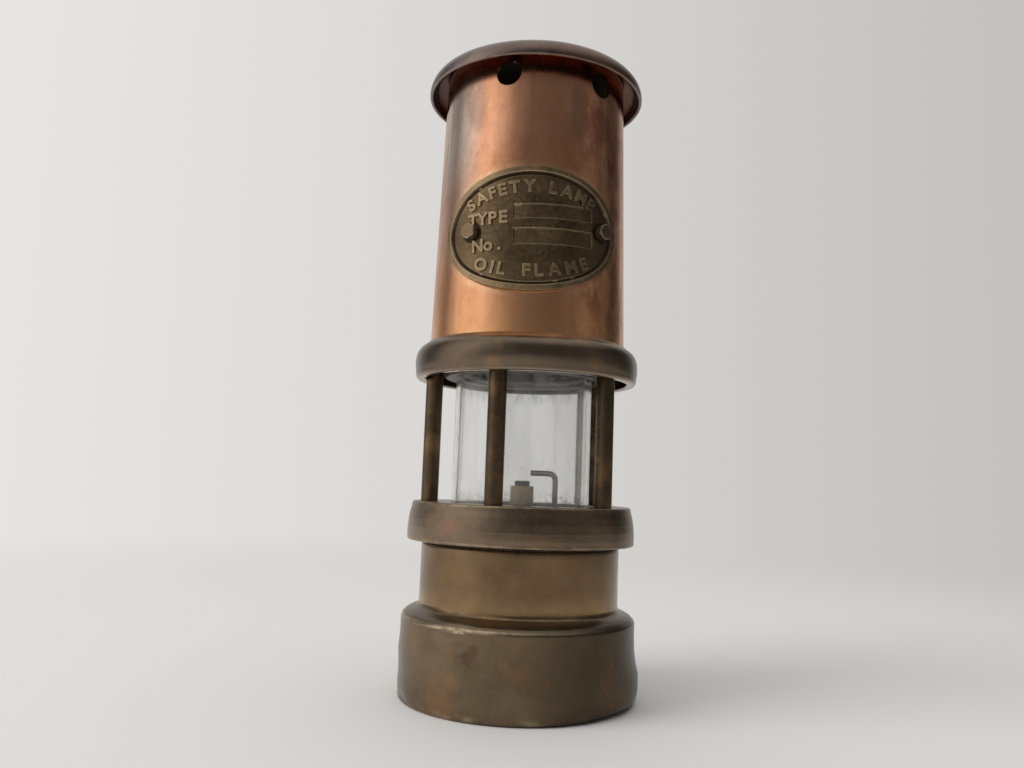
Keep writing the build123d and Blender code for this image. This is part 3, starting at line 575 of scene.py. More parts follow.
# ------------------------------------------------------------------ fuel vessel, with its knocks
def spline_pts(pts, n=10):
    """Catmull-Rom through the points."""
    out = []
    P = [Vector(p) for p in pts]
    for i in range(len(P) - 1):
        p0 = P[i - 1] if i else P[i] * 2 - P[i + 1]
        p1, p2 = P[i], P[i + 1]
        p3 = P[i + 2] if i + 2 < len(P) else P[i + 1] * 2 - P[i]
        for j in range(n):
            t = j / n
            q = 0.5 * ((2 * p1) + (-p0 + p2) * t + (2 * p0 - 5 * p1 + 4 * p2 - p3) * t * t + (-p0 + 3 * p1 - 3 * p2 + p3) * t ** 3)
            out.append((q.x, q.y))
    out.append(tuple(P[-1]))
    return out


foot_out = spline_pts([(30.5, 0.0), (31.05, 0.28), (31.5, 1.2), (31.72, 2.6), (31.75, 4.2), (31.62, 7.0), (31.32, 11.0), (31.1, 15.0), (31.03, 18.0), (31.02, 20.2)], 5)
edge = [(31.0, 20.45), (30.93, 20.68), (30.82, 20.86)]
shoulder = spline_pts([(30.45, 21.25), (29.9, 21.75), (29.1, 22.2), (28.2, 22.6), (27.4, 22.98), (26.85, 23.45), (26.58, 24.1), (26.5, 25.0)], 5)
neck = [(26.5, 26.0), (26.5, 32.0), (26.5, 38.6), (26.46, 38.95), (26.35, 39.25), (26.1, 39.4), (25.8, 39.4), (24.05, 39.4)]
spig = []
for i in range(6):                      # shallow turned thread on the spigot, seen only when unscrewed
    zz = 40.0 + i * 1.0
    spig += [(23.98, zz), (23.6, zz + 0.45), (23.98, zz + 0.9)]
inner = [(23.98, 46.1), (23.7, 46.4), (22.0, 46.4), (22.0, 44.9), (20.8, 44.9), (20.8, 43.0), (21.9, 41.6), (21.9, 38.2), (24.1, 36.0), (24.1, 22.6), (28.6, 18.6), (28.6, 0.15), (28.75, 0.0)]
vessel_prof = dense(foot_out + edge + shoulder + neck + spig + inner, 1.2)


def vessel_shape(az, r, z):
    """Old knocks: a dent under the shoulder at the front left, a pushed-out foot at the right, an uneven shoulder."""
    outer = smooth(28.9, 30.2, r) * smooth(25.5, 22.5, z)
    if outer > 0:
        d = 0.0
        a = (az + 22.5) / 6.0
        h = (z - 15.8) / 2.4
        d -= 0.70 * math.exp(-(a * a + h * h))                # the round dent
        a = (az + 27.0) / 8.0
        h = (z - 19.6) / 1.7
        d -= 0.75 * math.exp(-(a * a + h * h))                # nick in the shoulder's edge above it
        a = (az - 63.0) / 20.0
        h = (z - 4.5) / 6.0
        d += 0.32 * math.exp(-(a * a + h * h))                # foot pushed out at the right
        a = (az - 44.0) / 7.0
        h = (z - 2.2) / 2.6
        d -= 0.35 * math.exp(-(a * a + h * h))
        a = (az + 68.0) / 6.0
        h = (z - 1.6) / 1.6
        d -= 0.30 * math.exp(-(a * a + h * h))
        a = (az + 86.0) / 26.0
        d -= 0.65 * math.exp(-a * a) * smooth(13.0, 6.0, z)   # flattened at the left
        a = (az - 84.0) / 16.0
        h = (z - 6.5) / 3.4
        d += 0.55 * math.exp(-(a * a + h * h))
        v = Vector((math.sin(math.radians(az)) * 2.1, math.cos(math.radians(az)) * 2.1, z * 0.09))
        d += 0.07 * fbm(v, 3)
        r += d * outer * smooth(0.0, 1.2, z)
        a = (az - 52.0) / 26.0
        z += 0.9 * math.exp(-a * a) * outer * smooth(6.0, 0.0, z)
        z += 0.10 * outer * smooth(16.0, 20.5, z) * noise.noise(v * 1.6 + Vector((3, 3, 3)))
    return min(r, 32.2), max(z, 0.0)


vessel = new_object("vessel_shell", lathe_bm(vessel_prof, 360, vessel_shape), MAT_VESSEL, 50)
put(vessel, "vessel", "aged_brass", "base_vessel")

# ------------------------------------------------------------------ lower ring
ring_prof = rounded([
    (30.42, 41.0, 0.0), (30.46, 42.2, 0.0), (30.40, 44.0, 0.0), (30.22, 45.9, 0.0), (29.95, 47.5, 0.0), (29.62, 48.7, 0.0), (29.36, 50.2, 0.55),
    (19.6, 50.2, 0.25), (19.6, 48.0, 0.0), (16.8, 48.0, 0.2), (16.8, 46.9, 0.0), (24.15, 46.9, 0.0), (24.15, 40.2, 0.2), (30.45, 40.2, 0.75)], 6)


def ring_shape(az, r, z):
    if r > 28.5:
        v = Vector((math.sin(math.radians(az)) * 3.0, math.cos(math.radians(az)) * 3.0, z * 0.12))
        r += 0.035 * fbm(v, 3) - 0.01
        r += 0.003 * math.sin(z * 21.0) * smooth(41.2, 41.8, z) * smooth(49.4, 48.8, z)
    return r, z


ring = new_object("lower_ring_turned", lathe_bm(dense(ring_prof, 0.25), 300, ring_shape), MAT_RING, 40)
put(ring, "frame", "aged_brass", "lower_ring")

# ------------------------------------------------------------------ upper ring
up = spline_pts([(29.45, 83.02), (29.85, 83.2), (30.08, 83.65), (30.2, 84.4), (30.38, 85.6), (30.48, 87.0), (30.42, 88.3), (30.2, 89.5), (29.8, 90.45), (29.2, 91.25), (28.5, 91.85), (27.8, 92.35), (27.25, 92.85), (26.82, 92.95)], 4)
flange_prof = up + [(26.82, 89.5), (15.0, 89.5), (15.0, 86.5), (24.2, 86.5), (24.35, 86.35), (24.5, 86.5), (27.42, 86.5), (27.6, 86.32), (27.6, 83.35), (27.95, 83.0)]
flange = new_object("upper_ring_turned", lathe_bm(dense(flange_prof, 0.6), 300), MAT_FLANGE, 42)
put(flange, "frame", "aged_brass", "upper_ring")


# ------------------------------------------------------------------ bonnet with its vents
def cone_normals(o, tol=0.35):
    """Exact smooth normals on the tube's two walls, so the cut vents don't disturb the reflections."""
    me = o.data
    slope = 1.5 / 68.0
    nl = [None] * len(me.loops)
    for p in me.polygons:
        n = p.normal
        for li in p.loop_indices:
            v = me.vertices[me.loops[li].vertex_index].co
            rad = Vector((v.x, v.y, 0.0))
            if rad.length < 1e-6 or abs(n.z) > 0.5:
                nl[li] = tuple(n)
                continue
            rad.normalize()
            d = n.dot(rad)
            w = Vector((rad.x, rad.y, slope)).normalized()
            if d > 0.97:
                nl[li] = tuple(w)
            elif d < -0.97:
                nl[li] = tuple(-w)
            else:
                nl[li] = tuple(n)
    me.normals_split_custom_set(nl)


z0, z1 = 89.5, 168.0
tube_prof = rounded([(bonnet_r(z0) - 0.9, z0, 0.15), (bonnet_r(z0), z0, 0.15), (bonnet_r(z1), z1, 0.25), (bonnet_r(z1) - 0.9, z1, 0.2)], 3)
bonnet = new_object("bonnet_tube", lathe_bm(dense(tube_prof, 4.0), 288), MAT_COPPER, 30)
cutters = []
for i in range(6):
    az = math.radians(43.4 + 60 * i)
    bm = bmesh.new()
    bmesh.ops.create_cone(bm, cap_ends=True, segments=40, radius1=3.35 * MM, radius2=3.35 * MM, depth=12 * MM)
    d = Vector((math.sin(az), -math.cos(az), 0))
    rot = d.to_track_quat("Z", "Y").to_matrix().to_4x4()
    bmesh.ops.transform(bm, matrix=Matrix.Translation(Vector((d.x * 25 * MM, d.y * 25 * MM, 161.2 * MM))) @ rot, verts=bm.verts)
    c = new_object("cut_%d" % i, bm, MAT_COPPER, 0)
    cutters.append(c)
for c in cutters:
    md = bonnet.modifiers.new("cut", "BOOLEAN")
    md.operation = "DIFFERENCE"
    md.solver = "EXACT"
    md.object = c
dg = bpy.context.evaluated_depsgraph_get()
me = bpy.data.meshes.new_from_object(bonnet.evaluated_get(dg))
bonnet.modifiers.clear()
bonnet.data = me
me.name = "bonnet_tube"
for c in cutters:
    cm = c.data
    bpy.data.objects.remove(c)
    bpy.data.meshes.remove(cm)
me.shade_smooth()
cone_normals(bonnet)
put(bonnet, "frame", "copper", "bonnet")

# ------------------------------------------------------------------ hood
crown = spline_pts([(2.9, 170.6), (7.0, 170.52), (12.0, 170.3), (17.0, 169.98), (21.5, 169.62), (24.3, 169.3)], 4)
cx, cz = 25.15, 164.2
arc_o = [(cx + 5.0 * math.cos(math.radians(a)), cz + 5.0 * math.sin(math.radians(a))) for a in range(84, -1, -6)]
arc_i = [(cx + 4.1 * math.cos(math.radians(a)), cz + 4.1 * math.sin(math.radians(a))) for a in range(0, 85, 6)]
lip = [(30.15, 163.85), (30.1, 163.65), (29.95, 163.53), (29.7, 163.5), (29.45, 163.53), (29.3, 163.65), (29.25, 163.85)]
crown_i = [(r, z - 0.9) for r, z in reversed(crown)]
hood_prof = crown + arc_o + lip + arc_i + crown_i
n_out = len(crown) + len(arc_o) + 3


def hood_shape(az, r, z):
    v = Vector((math.sin(math.radians(az)) * 1.9, math.cos(math.radians(az)) * 1.9, r * 0.07))
    return r + 0.05 * smooth(20, 28, r) * fbm(v, 2), z + 0.05 * smooth(6, 20, r) * fbm(v + Vector((8, 8, 8)), 3) * smooth(164.0, 166.0, z)


hood = new_object("hood_spun", lathe_bm(hood_prof, 300, hood_shape), MAT_HOOD, 45)
att = hood.data.attributes.new("inside", "FLOAT", "POINT")
for i, v in enumerate(hood.data.vertices):
    r = math.hypot(v.co.x, v.co.y) / MM
    z = v.co.z / MM
    if r > cx:
        d = math.hypot(r - cx, max(0.0, z - cz))
        inside = 1.0 if d < 4.55 else 0.0
    else:
        top = 170.6 - 1.3 * (r / 24.3) ** 2
        inside = 1.0 if z < top - 0.45 else 0.0
    att.data[i].value = inside
put(hood, "frame", "hood_copper", "hood")

# ------------------------------------------------------------------ glass
glass_prof = rounded([(17.3, 48.6, 0.35), (18.65, 48.6, 0.35), (18.65, 84.8, 0.35), (17.3, 84.8, 0.35)], 5)
# the old glass has settled against one side of its seat
glass_bm = lathe_bm(dense(glass_prof, 6.0), 220)
bmesh.ops.translate(glass_bm, vec=(-0.45 * MM, 0, 0), verts=glass_bm.verts)
glass = new_object("glass_tube", glass_bm, MAT_GLASS, 45)
put(glass, "frame", "glass", "glass_cylinder")


# ------------------------------------------------------------------ oval plate
def superell(a, b, t, p=2.0):
    c, s = math.cos(t), math.sin(t)
    k = (abs(c) ** p + abs(s) ** p) ** (-1.0 / p)
    return a * k * c, b * k * s


def wrap(u, v, h):
    """Point h mm above the bonnet's wall, u mm along the curve from the front, v mm above the plate's centre."""
    z = PLATE_Z + u * TILT_S + v * TILT_C
    r = bonnet_r(z)
    a = (u * TILT_C - v * TILT_S) / r
    return ((r + h) * MM * math.sin(a), -(r + h) * MM * math.cos(a), z * MM)


def rim_height(d):
    """Relief against the distance d (mm) in from the outer edge: rounded edge, flat border, cut groove, dished field."""
    h = 1.52
    h -= 0.55 * (1 - smooth(0.0, 0.35, d)) ** 2
    h -= 0.62 * smooth(1.55, 1.95, d)
    h -= 0.22 * math.exp(-((d - 2.12) / 0.22) ** 2)
    h -= 0.05 * smooth(2.5, 9.0, d)
    return h


BOXES = [(-4.4, 16.0, 2.7, 6.2), (-4.4, 16.0, -4.0, -0.1)]


def box_depth(u, v):
    for u0, u1, v0, v1 in BOXES:
        s = min(u - u0, u1 - u, v - v0, v1 - v)
        if s > -0.12:
            return 0.34 * smooth(-0.12, 0.12, s)
    return 0.0


bm = bmesh.new()
rings_d = [0.0, 0.03, 0.08, 0.16, 0.28, 0.42, 0.8, 1.2, 1.5, 1.62, 1.72, 1.82, 1.92, 2.02, 2.12, 2.22, 2.34, 2.5, 2.7, 3.0]
SEG = 320
loops = []
for d in rings_d:
    row = []
    for i in range(SEG):
        u, v = superell(PLATE_A - d, PLATE_B - d, 2 * math.pi * i / SEG)
        row.append(bm.verts.new(wrap(u, v, rim_height(d))))
    loops.append(row)
for a, b in zip(loops, loops[1:]):
    for i in range(SEG):
        j = (i + 1) % SEG
        bm.faces.new((a[i], b[i], b[j], a[j]))
# side wall and back
side = [[], []]
for i in range(SEG):
    u, v = superell(PLATE_A + 0.02, PLATE_B + 0.02, 2 * math.pi * i / SEG)
    side[0].append(bm.verts.new(wrap(u, v, 0.75)))
    side[1].append(bm.verts.new(wrap(u, v, 0.04)))
for a, b in ((side[0], loops[0]), (side[1], side[0])):
    for i in range(SEG):
        j = (i + 1) % SEG
        bm.faces.new((a[i], b[i], b[j], a[j]))
# the field: fine square grid inside the last loop, with the sunk boxes
DA, DB = PLATE_A - rings_d[-1], PLATE_B - rings_d[-1]
us = [-DA + 0.25 * i for i in range(int(2 * DA / 0.25) + 1)]
vs = [-DB + 0.25 * i for i in range(int(2 * DB / 0.25) + 1)]
for u0, u1, v0, v1 in BOXES:
    for e in (u0, u1):
        us += [e - 0.12, e - 0.06, e, e + 0.06, e + 0.12]
    for e in (v0, v1):
        vs += [e - 0.12, e - 0.06, e, e + 0.06, e + 0.12]


def tidy(q):
    q = sorted(q)
    out = [q[0]]
    for x in q[1:]:
        if x - out[-1] > 0.045:
            out.append(x)
    return out


us, vs = tidy(us), tidy(vs)
field = {}


def inside_oval(u, v, m=0.12):
    return (abs(u) / (DA - m)) ** 2 + (abs(v) / (DB - m)) ** 2 < 1.0


def edge_dist(u, v):
    k = math.hypot(u / PLATE_A, v / PLATE_B)
    return (1 - k) * PLATE_B


for i, u in enumerate(us):
    for j, v in enumerate(vs):
        if inside_oval(u, v):
            d = min(9.0, max(3.0, edge_dist(u, v)))
            h = rim_height(d) - box_depth(u, v)
            h += 0.012 * noise.noise(Vector((u * 0.9, v * 0.9, 4.0)))
            field[(i, j)] = bm.verts.new(wrap(u, v, h))
used = {}
for i in range(len(us) - 1):
    for j in range(len(vs) - 1):
        q = [(i, j), (i + 1, j), (i + 1, j + 1), (i, j + 1)]
        if all(k in field for k in q):
            bm.faces.new([field[k] for k in q])
bm.edges.ensure_lookup_table()
# stitch the ragged edge of the grid to the last loop
fv = set(field.values())
grid_edges = [e for e in bm.edges if e.is_boundary and e.verts[0] in fv and e.verts[1] in fv]
last = set(loops[-1])
loop_edges = [e for e in bm.edges if e.is_boundary and e.verts[0] in last and e.verts[1] in last]
bmesh.ops.bridge_loops(bm, edges=grid_edges + loop_edges)
# back face
back = bm.faces.new(list(side[1]))
bmesh.ops.recalc_face_normals(bm, faces=bm.faces)
loose = [v for v in bm.verts if not v.link_faces]
bmesh.ops.delete(bm, geom=loose, context="VERTS")
bmesh.ops.triangulate(bm, faces=[f for f in bm.faces if len(f.verts) > 4])
plate = new_object("name_plate_relief", bm, MAT_PLATE, 50)
att = plate.data.attributes.new("deep", "FLOAT", "POINT")
for i, v in enumerate(plate.data.vertices):
    h = math.hypot(v.co.x, v.co.y) / MM - bonnet_r(v.co.z / MM)
    d = 0.0 if h > 1.3 else 0.62
    ar = math.atan2(v.co.x, -v.co.y) * (bonnet_r(v.co.z / MM))
    zz = v.co.z / MM
    lu, lv = ar * TILT_C + (zz - PLATE_Z) * TILT_S, (zz - PLATE_Z) * TILT_C - ar * TILT_S
    if box_depth(lu, lv) > 0.0:
        d = 0.66
    elif h < 0.80:
        d = 1.0                                           # the groove inside the border, and the outer side wall, painted near black as shade
    elif h < 0.90:
        d = 0.62 + 0.38 * smooth(0.90, 0.80, h)
    for _, pa, pz in PINS:
        q = math.hypot(ar - math.radians(pa) * bonnet_r(pz), zz - pz)
        d = max(d, smooth(4.2, 2.4, q))                   # soot and painted shade gathered round the pins
    att.data[i].value = d
put(plate, "frame", "plate_bronze", "oval_plate")


def glyph_mesh(ch, size):
    cu = bpy.data.curves.new("g", "FONT")
    cu.body = ch
    cu.size = size
    cu.align_x = "CENTER"
    cu.extrude = 0.30
    cu.offset = 0.07
    cu.bevel_depth = 0.10
    cu.bevel_resolution = 1
    cu.resolution_u = 4
    o = bpy.data.objects.new("g", cu)
    bpy.context.scene.collection.objects.link(o)
    dg = bpy.context.evaluated_depsgraph_get()
    m = bpy.data.meshes.new_from_object(o.evaluated_get(dg))
    xs = [v.co.x for v in m.vertices] or [0]
    w = (min(xs), max(xs))
    bpy.data.objects.remove(o)
    bpy.data.curves.remove(cu)
    return m, w


letters = bmesh.new()


def add_glyph(ch, size, u, v, ang):
    m, w = glyph_mesh(ch, size)
    mid = (w[0] + w[1]) / 2
    ca, sa = math.cos(ang), math.sin(ang)
    bm = bmesh.new()
    bm.from_mesh(m)
    bmesh.ops.subdivide_edges(bm, edges=[e for e in bm.edges if e.calc_length() > 0.8], cuts=2)
    for vt in bm.verts:
        x, y, h = vt.co.x - mid, vt.co.y - size * 0.35, vt.co.z
        uu, vv = u + ca * x - sa * y, v + sa * x + ca * y
        vt.co = Vector(wrap(uu, vv, 0.93 + h))
    tmp = bpy.data.meshes.new("t")
    bm.to_mesh(tmp)
    bm.free()
    letters.from_mesh(tmp)
    bpy.data.meshes.remove(tmp)
    bpy.data.meshes.remove(m)
    return w


def glyph_width(ch, size):
    if ch == " ":
        return size * 0.45
    m, w = glyph_mesh(ch, size)
    bpy.data.meshes.remove(m)
    return w[1] - w[0]


def arc_text(text, size, a, b, t0, t1):
    """Letters along a half oval of half-axes a, b, from parameter t0 to t1 (degrees, 90 = top), with even gaps."""
    n = 400
    ts = [math.radians(t0 + (t1 - t0) * i / n) for i in range(n + 1)]
    ps = [(a * math.cos(t), b * math.sin(t)) for t in ts]
    run = [0.0]
    for p, q in zip(ps, ps[1:]):
        run.append(run[-1] + math.hypot(q[0] - p[0], q[1] - p[1]))
    ws = [glyph_width(ch, size) for ch in text]
    gap = (run[-1] - sum(ws)) / (len(text) - 1)
    at = 0.0
    for ch, w in zip(text, ws):
        mid = at + w / 2
        at += w + gap
        if ch == " ":
            continue
        i = min(n - 1, max(0, next((k for k in range(n) if run[k + 1] >= mid), n - 1)))
        du, dv = ps[i + 1][0] - ps[i][0], ps[i + 1][1] - ps[i][1]
        add_glyph(ch, size, ps[i][0], ps[i][1], math.atan2(dv, du))


def line_text(text, size, u, v, step):
    for i, ch in enumerate(text):
        if ch != " ":
            add_glyph(ch, size, u + i * step, v, 0.0)


arc_text("SAFETY LAMP", 4.3, 20.9, 10.9, 142, 38)
line_text("TYPE", 4.4, -15.0, 3.1, 2.75)
line_text("No.", 4.4, -13.6, -3.8, 2.9)
arc_text("OIL FLAME", 4.3, 21.2, 10.9, 228, 312)
bmesh.ops.recalc_face_normals(letters, faces=letters.faces)
lettering = new_object("plate_lettering", letters, MAT_LETTER, 40)
put(lettering, "frame", "plate_bronze")

# ------------------------------------------------------------------ the plate's two pins, with hammered ends
for side_name, az, pin_z in PINS:
    r0 = bonnet_r(pin_z)
    prof = rounded([(0.0, -0.15), (1.15, -0.15), (1.15, 0.85), (1.95, 0.85), (2.08, 3.05, 0.35), (0.0, 3.1)], 4)
    bm = bmesh.new()
    seg = 40
    rows = []
    for i in range(seg):
        t = 2 * math.pi * i / seg
        row = []
        for rr, h in prof:
            f = 1.0 + 0.030 * math.cos(6 * t + az) * smooth(0.6, 3.0, h) + 0.015 * math.cos(2 * t)
            hh = h - (0.10 * (rr / 2.0) ** 2 * (0.5 + 0.5 * math.cos(3 * t + 1.0)) if h > 2.6 else 0.0)
            row.append((rr * f * math.cos(t), rr * f * math.sin(t), hh))
        rows.append(row)
    vr = [[bm.verts.new(p) for p in row] for row in rows]
    for i in range(seg):
        A, B = vr[i], vr[(i + 1) % seg]
        for j in range(len(prof) - 1):
            bm.faces.new((A[j], A[j + 1], B[j + 1], B[j]))
    bmesh.ops.remove_doubles(bm, verts=bm.verts, dist=1e-6)
    bmesh.ops.recalc_face_normals(bm, faces=bm.faces)
    d = Vector((math.sin(math.radians(az)), -math.cos(math.radians(az)), 0))
    rot = d.to_track_quat("Z", "Y").to_matrix().to_4x4()
    sc = Matrix.Scale(MM, 4)
    bmesh.ops.transform(bm, matrix=Matrix.Translation(Vector((d.x * r0 * MM, d.y * r0 * MM, pin_z * MM))) @ rot @ sc, verts=bm.verts)
    pin = new_object("plate_pin_%s_worn" % side_name, bm, MAT_PIN, 40)
    put(pin, "frame", "plate_bronze", "plate_pin_" + side_name)


# ------------------------------------------------------------------ wick: a round braid with a charred, frayed top
def tube_along(bm, path, rad, sides=6):
    """Round strand along a list of points (metres), radius a number or a function of 0..1."""
    k = len(path)
    prev = None
    rows = []
    ref = Vector((0.3, 0.2, 0.93)).normalized()
    for i, p in enumerate(path):
        t = (path[min(i + 1, k - 1)] - path[max(i - 1, 0)]).normalized()
        a = t.cross(ref)
        if a.length < 1e-3:
            a = t.cross(Vector((1, 0, 0)))
        a.normalize()
        b = t.cross(a)
        rr = rad(i / (k - 1)) if callable(rad) else rad
        rows.append([bm.verts.new(p + (a * math.cos(2 * math.pi * s / sides) + b * math.sin(2 * math.pi * s / sides)) * rr) for s in range(sides)])
    for A, B in zip(rows, rows[1:]):
        for s in range(sides):
            s2 = (s + 1) % sides
            bm.faces.new((A[s], A[s2], B[s2], B[s]))
    bm.faces.new(rows[0][::-1])
    bm.faces.new(rows[-1])


bm = bmesh.new()
for k in range(8):
    for hand in (1, -1):
        path = []
        for i in range(150):
            f = i / 149
            z = 12.4 + (56.2 - 12.4) * f
            a = hand * (z * 0.62) + k * math.pi / 4
            r = 1.78 + 0.16 * hand * math.cos(a * 4 * hand)
            if z > 54.5:
                r *= 1 - 0.10 * smooth(54.5, 56.2, z)
            path.append(Vector((r * math.sin(a), r * math.cos(a), z)) * MM)
        tube_along(bm, path, 0.36 * MM, 5)
for k in range(40):
    a = k * 2.399
    r = 0.15 + 1.55 * ((k * 0.618) % 1.0) ** 0.5
    lean = Vector((noise.noise(Vector((k, 0.3, 0))), noise.noise(Vector((0.7, k, 0))), 0)) * 0.5
    h = 56.3 + 0.55 * noise.noise(Vector((k * 0.7, 1, 2)))
    path = [Vector((r * math.sin(a), r * math.cos(a), 53.5)) * MM, Vector((r * math.sin(a) + lean.x * 0.4, r * math.cos(a) + lean.y * 0.4, (53.5 + h) / 2)) * MM, Vector((r * math.sin(a) + lean.x, r * math.cos(a) + lean.y, h)) * MM]
    tube_along(bm, path, lambda f: (0.20 - 0.12 * f) * MM, 5)
bmesh.ops.recalc_face_normals(bm, faces=bm.faces)
wick = new_object("wick_braided", bm, MAT_WICK, 0)
put(wick, "vessel", "wick_cotton", "wick")

# ------------------------------------------------------------------ cotton wadding: a lumpy packed roll inside the vessel
wad_prof = [(3.5, 8.6), (12.0, 8.4), (20.0, 8.4), (26.5, 8.7), (27.9, 10.0), (28.0, 13.0), (27.9, 16.5), (26.6, 18.6), (24.6, 20.6), (23.4, 22.8), (23.4, 26.0), (23.4, 31.0), (23.3, 35.0), (21.9, 37.3), (21.1, 38.6), (21.0, 40.6), (19.9, 42.6), (17.0, 43.2), (12.0, 43.3), (7.0, 43.2), (3.5, 43.0)]


def wad_shape(az, r, z):
    v = Vector((math.sin(math.radians(az)) * r * 0.22, math.cos(math.radians(az)) * r * 0.22, z * 0.22))
    k = abs(fbm(v, 4)) * 0.9
    if r < 4.2:
        return 3.5, z
    return r - k, z - k * 0.5 * smooth(40.0, 42.5, z) + k * 0.5 * smooth(10.5, 8.6, z)


wad = new_object("wadding_roll", lathe_bm(dense(wad_prof, 1.3), 120, wad_shape), MAT_COTTON, 0)
put(wad, "vessel", "cotton", "cotton_wadding")


# ------------------------------------------------------------------ gauzes: woven wire
def woven(name, prof, n_vert, n_ring_step, wire, cap_r, cap_z):
    """Wire cloth on a turned outline: prof(z) gives the radius between two heights; a flat woven top closes it."""
    z_lo, z_hi, radius = prof
    bm = bmesh.new()
    k = int((z_hi - z_lo) / n_ring_step)
    amp = wire * 0.8
    for i in range(n_vert):
        a = 2 * math.pi * i / n_vert
        path = []
        for j in range(k + 1):
            z = z_lo + n_ring_step * j
            r = radius(z) + (amp if (i + j) % 2 else -amp)
            path.append(Vector((r * math.sin(a), -r * math.cos(a), z)) * MM)
        tube_along(bm, path, wire * MM, 3)
    for j in range(k + 1):
        z = z_lo + n_ring_step * j
        rows = []
        for i in range(n_vert):
            a = 2 * math.pi * i / n_vert
            r = radius(z) + (-amp if (i + j) % 2 else amp)
            c = Vector((r * math.sin(a), -r * math.cos(a), z)) * MM
            e = Vector((math.sin(a), -math.cos(a), 0))
            rows.append([bm.verts.new(c + (e * math.cos(2 * math.pi * s / 3) + Vector((0, 0, 1)) * math.sin(2 * math.pi * s / 3)) * wire * MM) for s in range(3)])
        for i in range(n_vert):
            A, B = rows[i], rows[(i + 1) % n_vert]
            for s in range(3):
                s2 = (s + 1) % 3
                bm.faces.new((A[s], A[s2], B[s2], B[s]))
    step = 0.75
    c = int(cap_r / step)
    for ax in (0, 1):
        for i in range(-c, c + 1):
            q = i * step
            half = math.sqrt(max(0.0, cap_r * cap_r - q * q))
            m = max(2, int(2 * half / step))
            path = []
            for j in range(m + 1):
                w = -half + 2 * half * j / m
                h = cap_z + (amp if (i + j + ax) % 2 else -amp)
                path.append(Vector((q, w, h) if ax else (w, q, h)) * MM)
            if half > 0.5:
                tube_along(bm, path, wire * MM, 3)
    bmesh.ops.recalc_face_normals(bm, faces=bm.faces)
    return new_object(name, bm, MAT_GAUZE, 0)


g1 = woven("main_gauze_woven", (95.0, 147.0, lambda z: 16.05 - 0.0124 * (z - 90.0)), 110, 0.85, 0.13, 15.0, 147.6)
put(g1, "frame", "gauze", "main_gauze")
g2 = woven("gauze_cap_woven", (128.2, 149.2, lambda z: 16.6 - 0.02 * (z - 128.0)), 112, 0.85, 0.13, 15.6, 149.9)
put(g2, "frame", "gauze", "gauze_cap")

# ------------------------------------------------------------------ CAD nodes that keep their shape
for i in range(1, 6):
    dress("pillar_%d" % i, MAT_PILLAR)
dress("bottom_plate", MAT_DULL)
dress("burner_plate", MAT_DULL)
dress("wick_tube", MAT_DULL)
dress("pricker_wire", MAT_STEEL)
dress("pricker_tube", MAT_DULL)
dress("pricker_gland", MAT_DULL)
dress("pricker_sleeve", MAT_DULL)
dress("thread_seal", MAT_LEATHER)
dress("lower_glass_gasket", MAT_FIBRE)
dress("upper_glass_gasket", MAT_FIBRE)
dress("upper_glass_seat", MAT_SEAT)
dress("gauze_ring", MAT_DULL)
dress("crown_plate", MAT_DULL)
dress("hanger_bush", MAT_DULL)
dress("swivel_eye", MAT_DULL)
dress("swivel_nut", MAT_DULL)
dress("hanging_ring", MAT_DULL)

# ------------------------------------------------------------------ stage: pale floor that fades into a pale surround
PALE = (0.668, 0.656, 0.636)
SWAY = 0.36            # how much paler the surround is on the left than ahead
m = Mat("floor_paper")
x, y, z, ang, rad = m.xyz()
paper = m.noise(700, 4.0, 0.6)
col = m.mix(m.mapr(paper, 0.3, 0.7, 0.0, 0.12), (0.80, 0.79, 0.775), (0.76, 0.75, 0.735))
m.done(col, 0.85, 0.0, m.bump(paper, 0.08, 0.0001))
em = m.t.nodes.new("ShaderNodeEmission")
em.inputs["Color"].default_value = PALE + (1.0,)
yy = m.math("ADD", y, 0.2331)
far = m.math("SQRT", m.math("ADD", m.math("ADD", m.math("MULTIPLY", x, x), m.math("MULTIPLY", yy, yy)), 1e-6))
m.link(m.math("SUBTRACT", 1.0, m.math("MULTIPLY", m.math("DIVIDE", x, far), SWAY)), em.inputs["Strength"])
mx = m.t.nodes.new("ShaderNodeMixShader")
m.link(m.mapr(rad, 0.16, 0.62), mx.inputs[0])
m.link(m.bsdf.outputs[0], mx.inputs[1])
m.link(em.outputs[0], mx.inputs[2])
m.link(mx.outputs[0], m.out.inputs[0])
bm = bmesh.new()
bmesh.ops.create_circle(bm, cap_ends=True, radius=30.0, segments=96)
floor = new_object("floor_sheet", bm, m.m, 0)
floor.location.z = -0.00005
floor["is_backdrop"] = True

# ------------------------------------------------------------------ light
sc = bpy.context.scene
sc.view_settings.view_transform = "Standard"
sc.view_settings.look = "None"
world = bpy.data.worlds.new("studio")
sc.world = world
world.use_nodes = True
wt = world.node_tree
wt.nodes.clear()
wout = wt.nodes.new("ShaderNodeOutputWorld")
tc = wt.nodes.new("ShaderNodeTexCoord")
sepw = wt.nodes.new("ShaderNodeSeparateXYZ")
wt.links.new(tc.outputs["Generated"], sepw.inputs[0])


def wmath(op, a, b=None):
    n = wt.nodes.new("ShaderNodeMath")
    n.operation = op
    for s, v in zip(n.inputs, (a, b)):
        if v is None:
            continue
        if isinstance(v, (int, float)):
            s.default_value = v
        else:
            wt.links.new(v, s)
    return n.outputs[0]


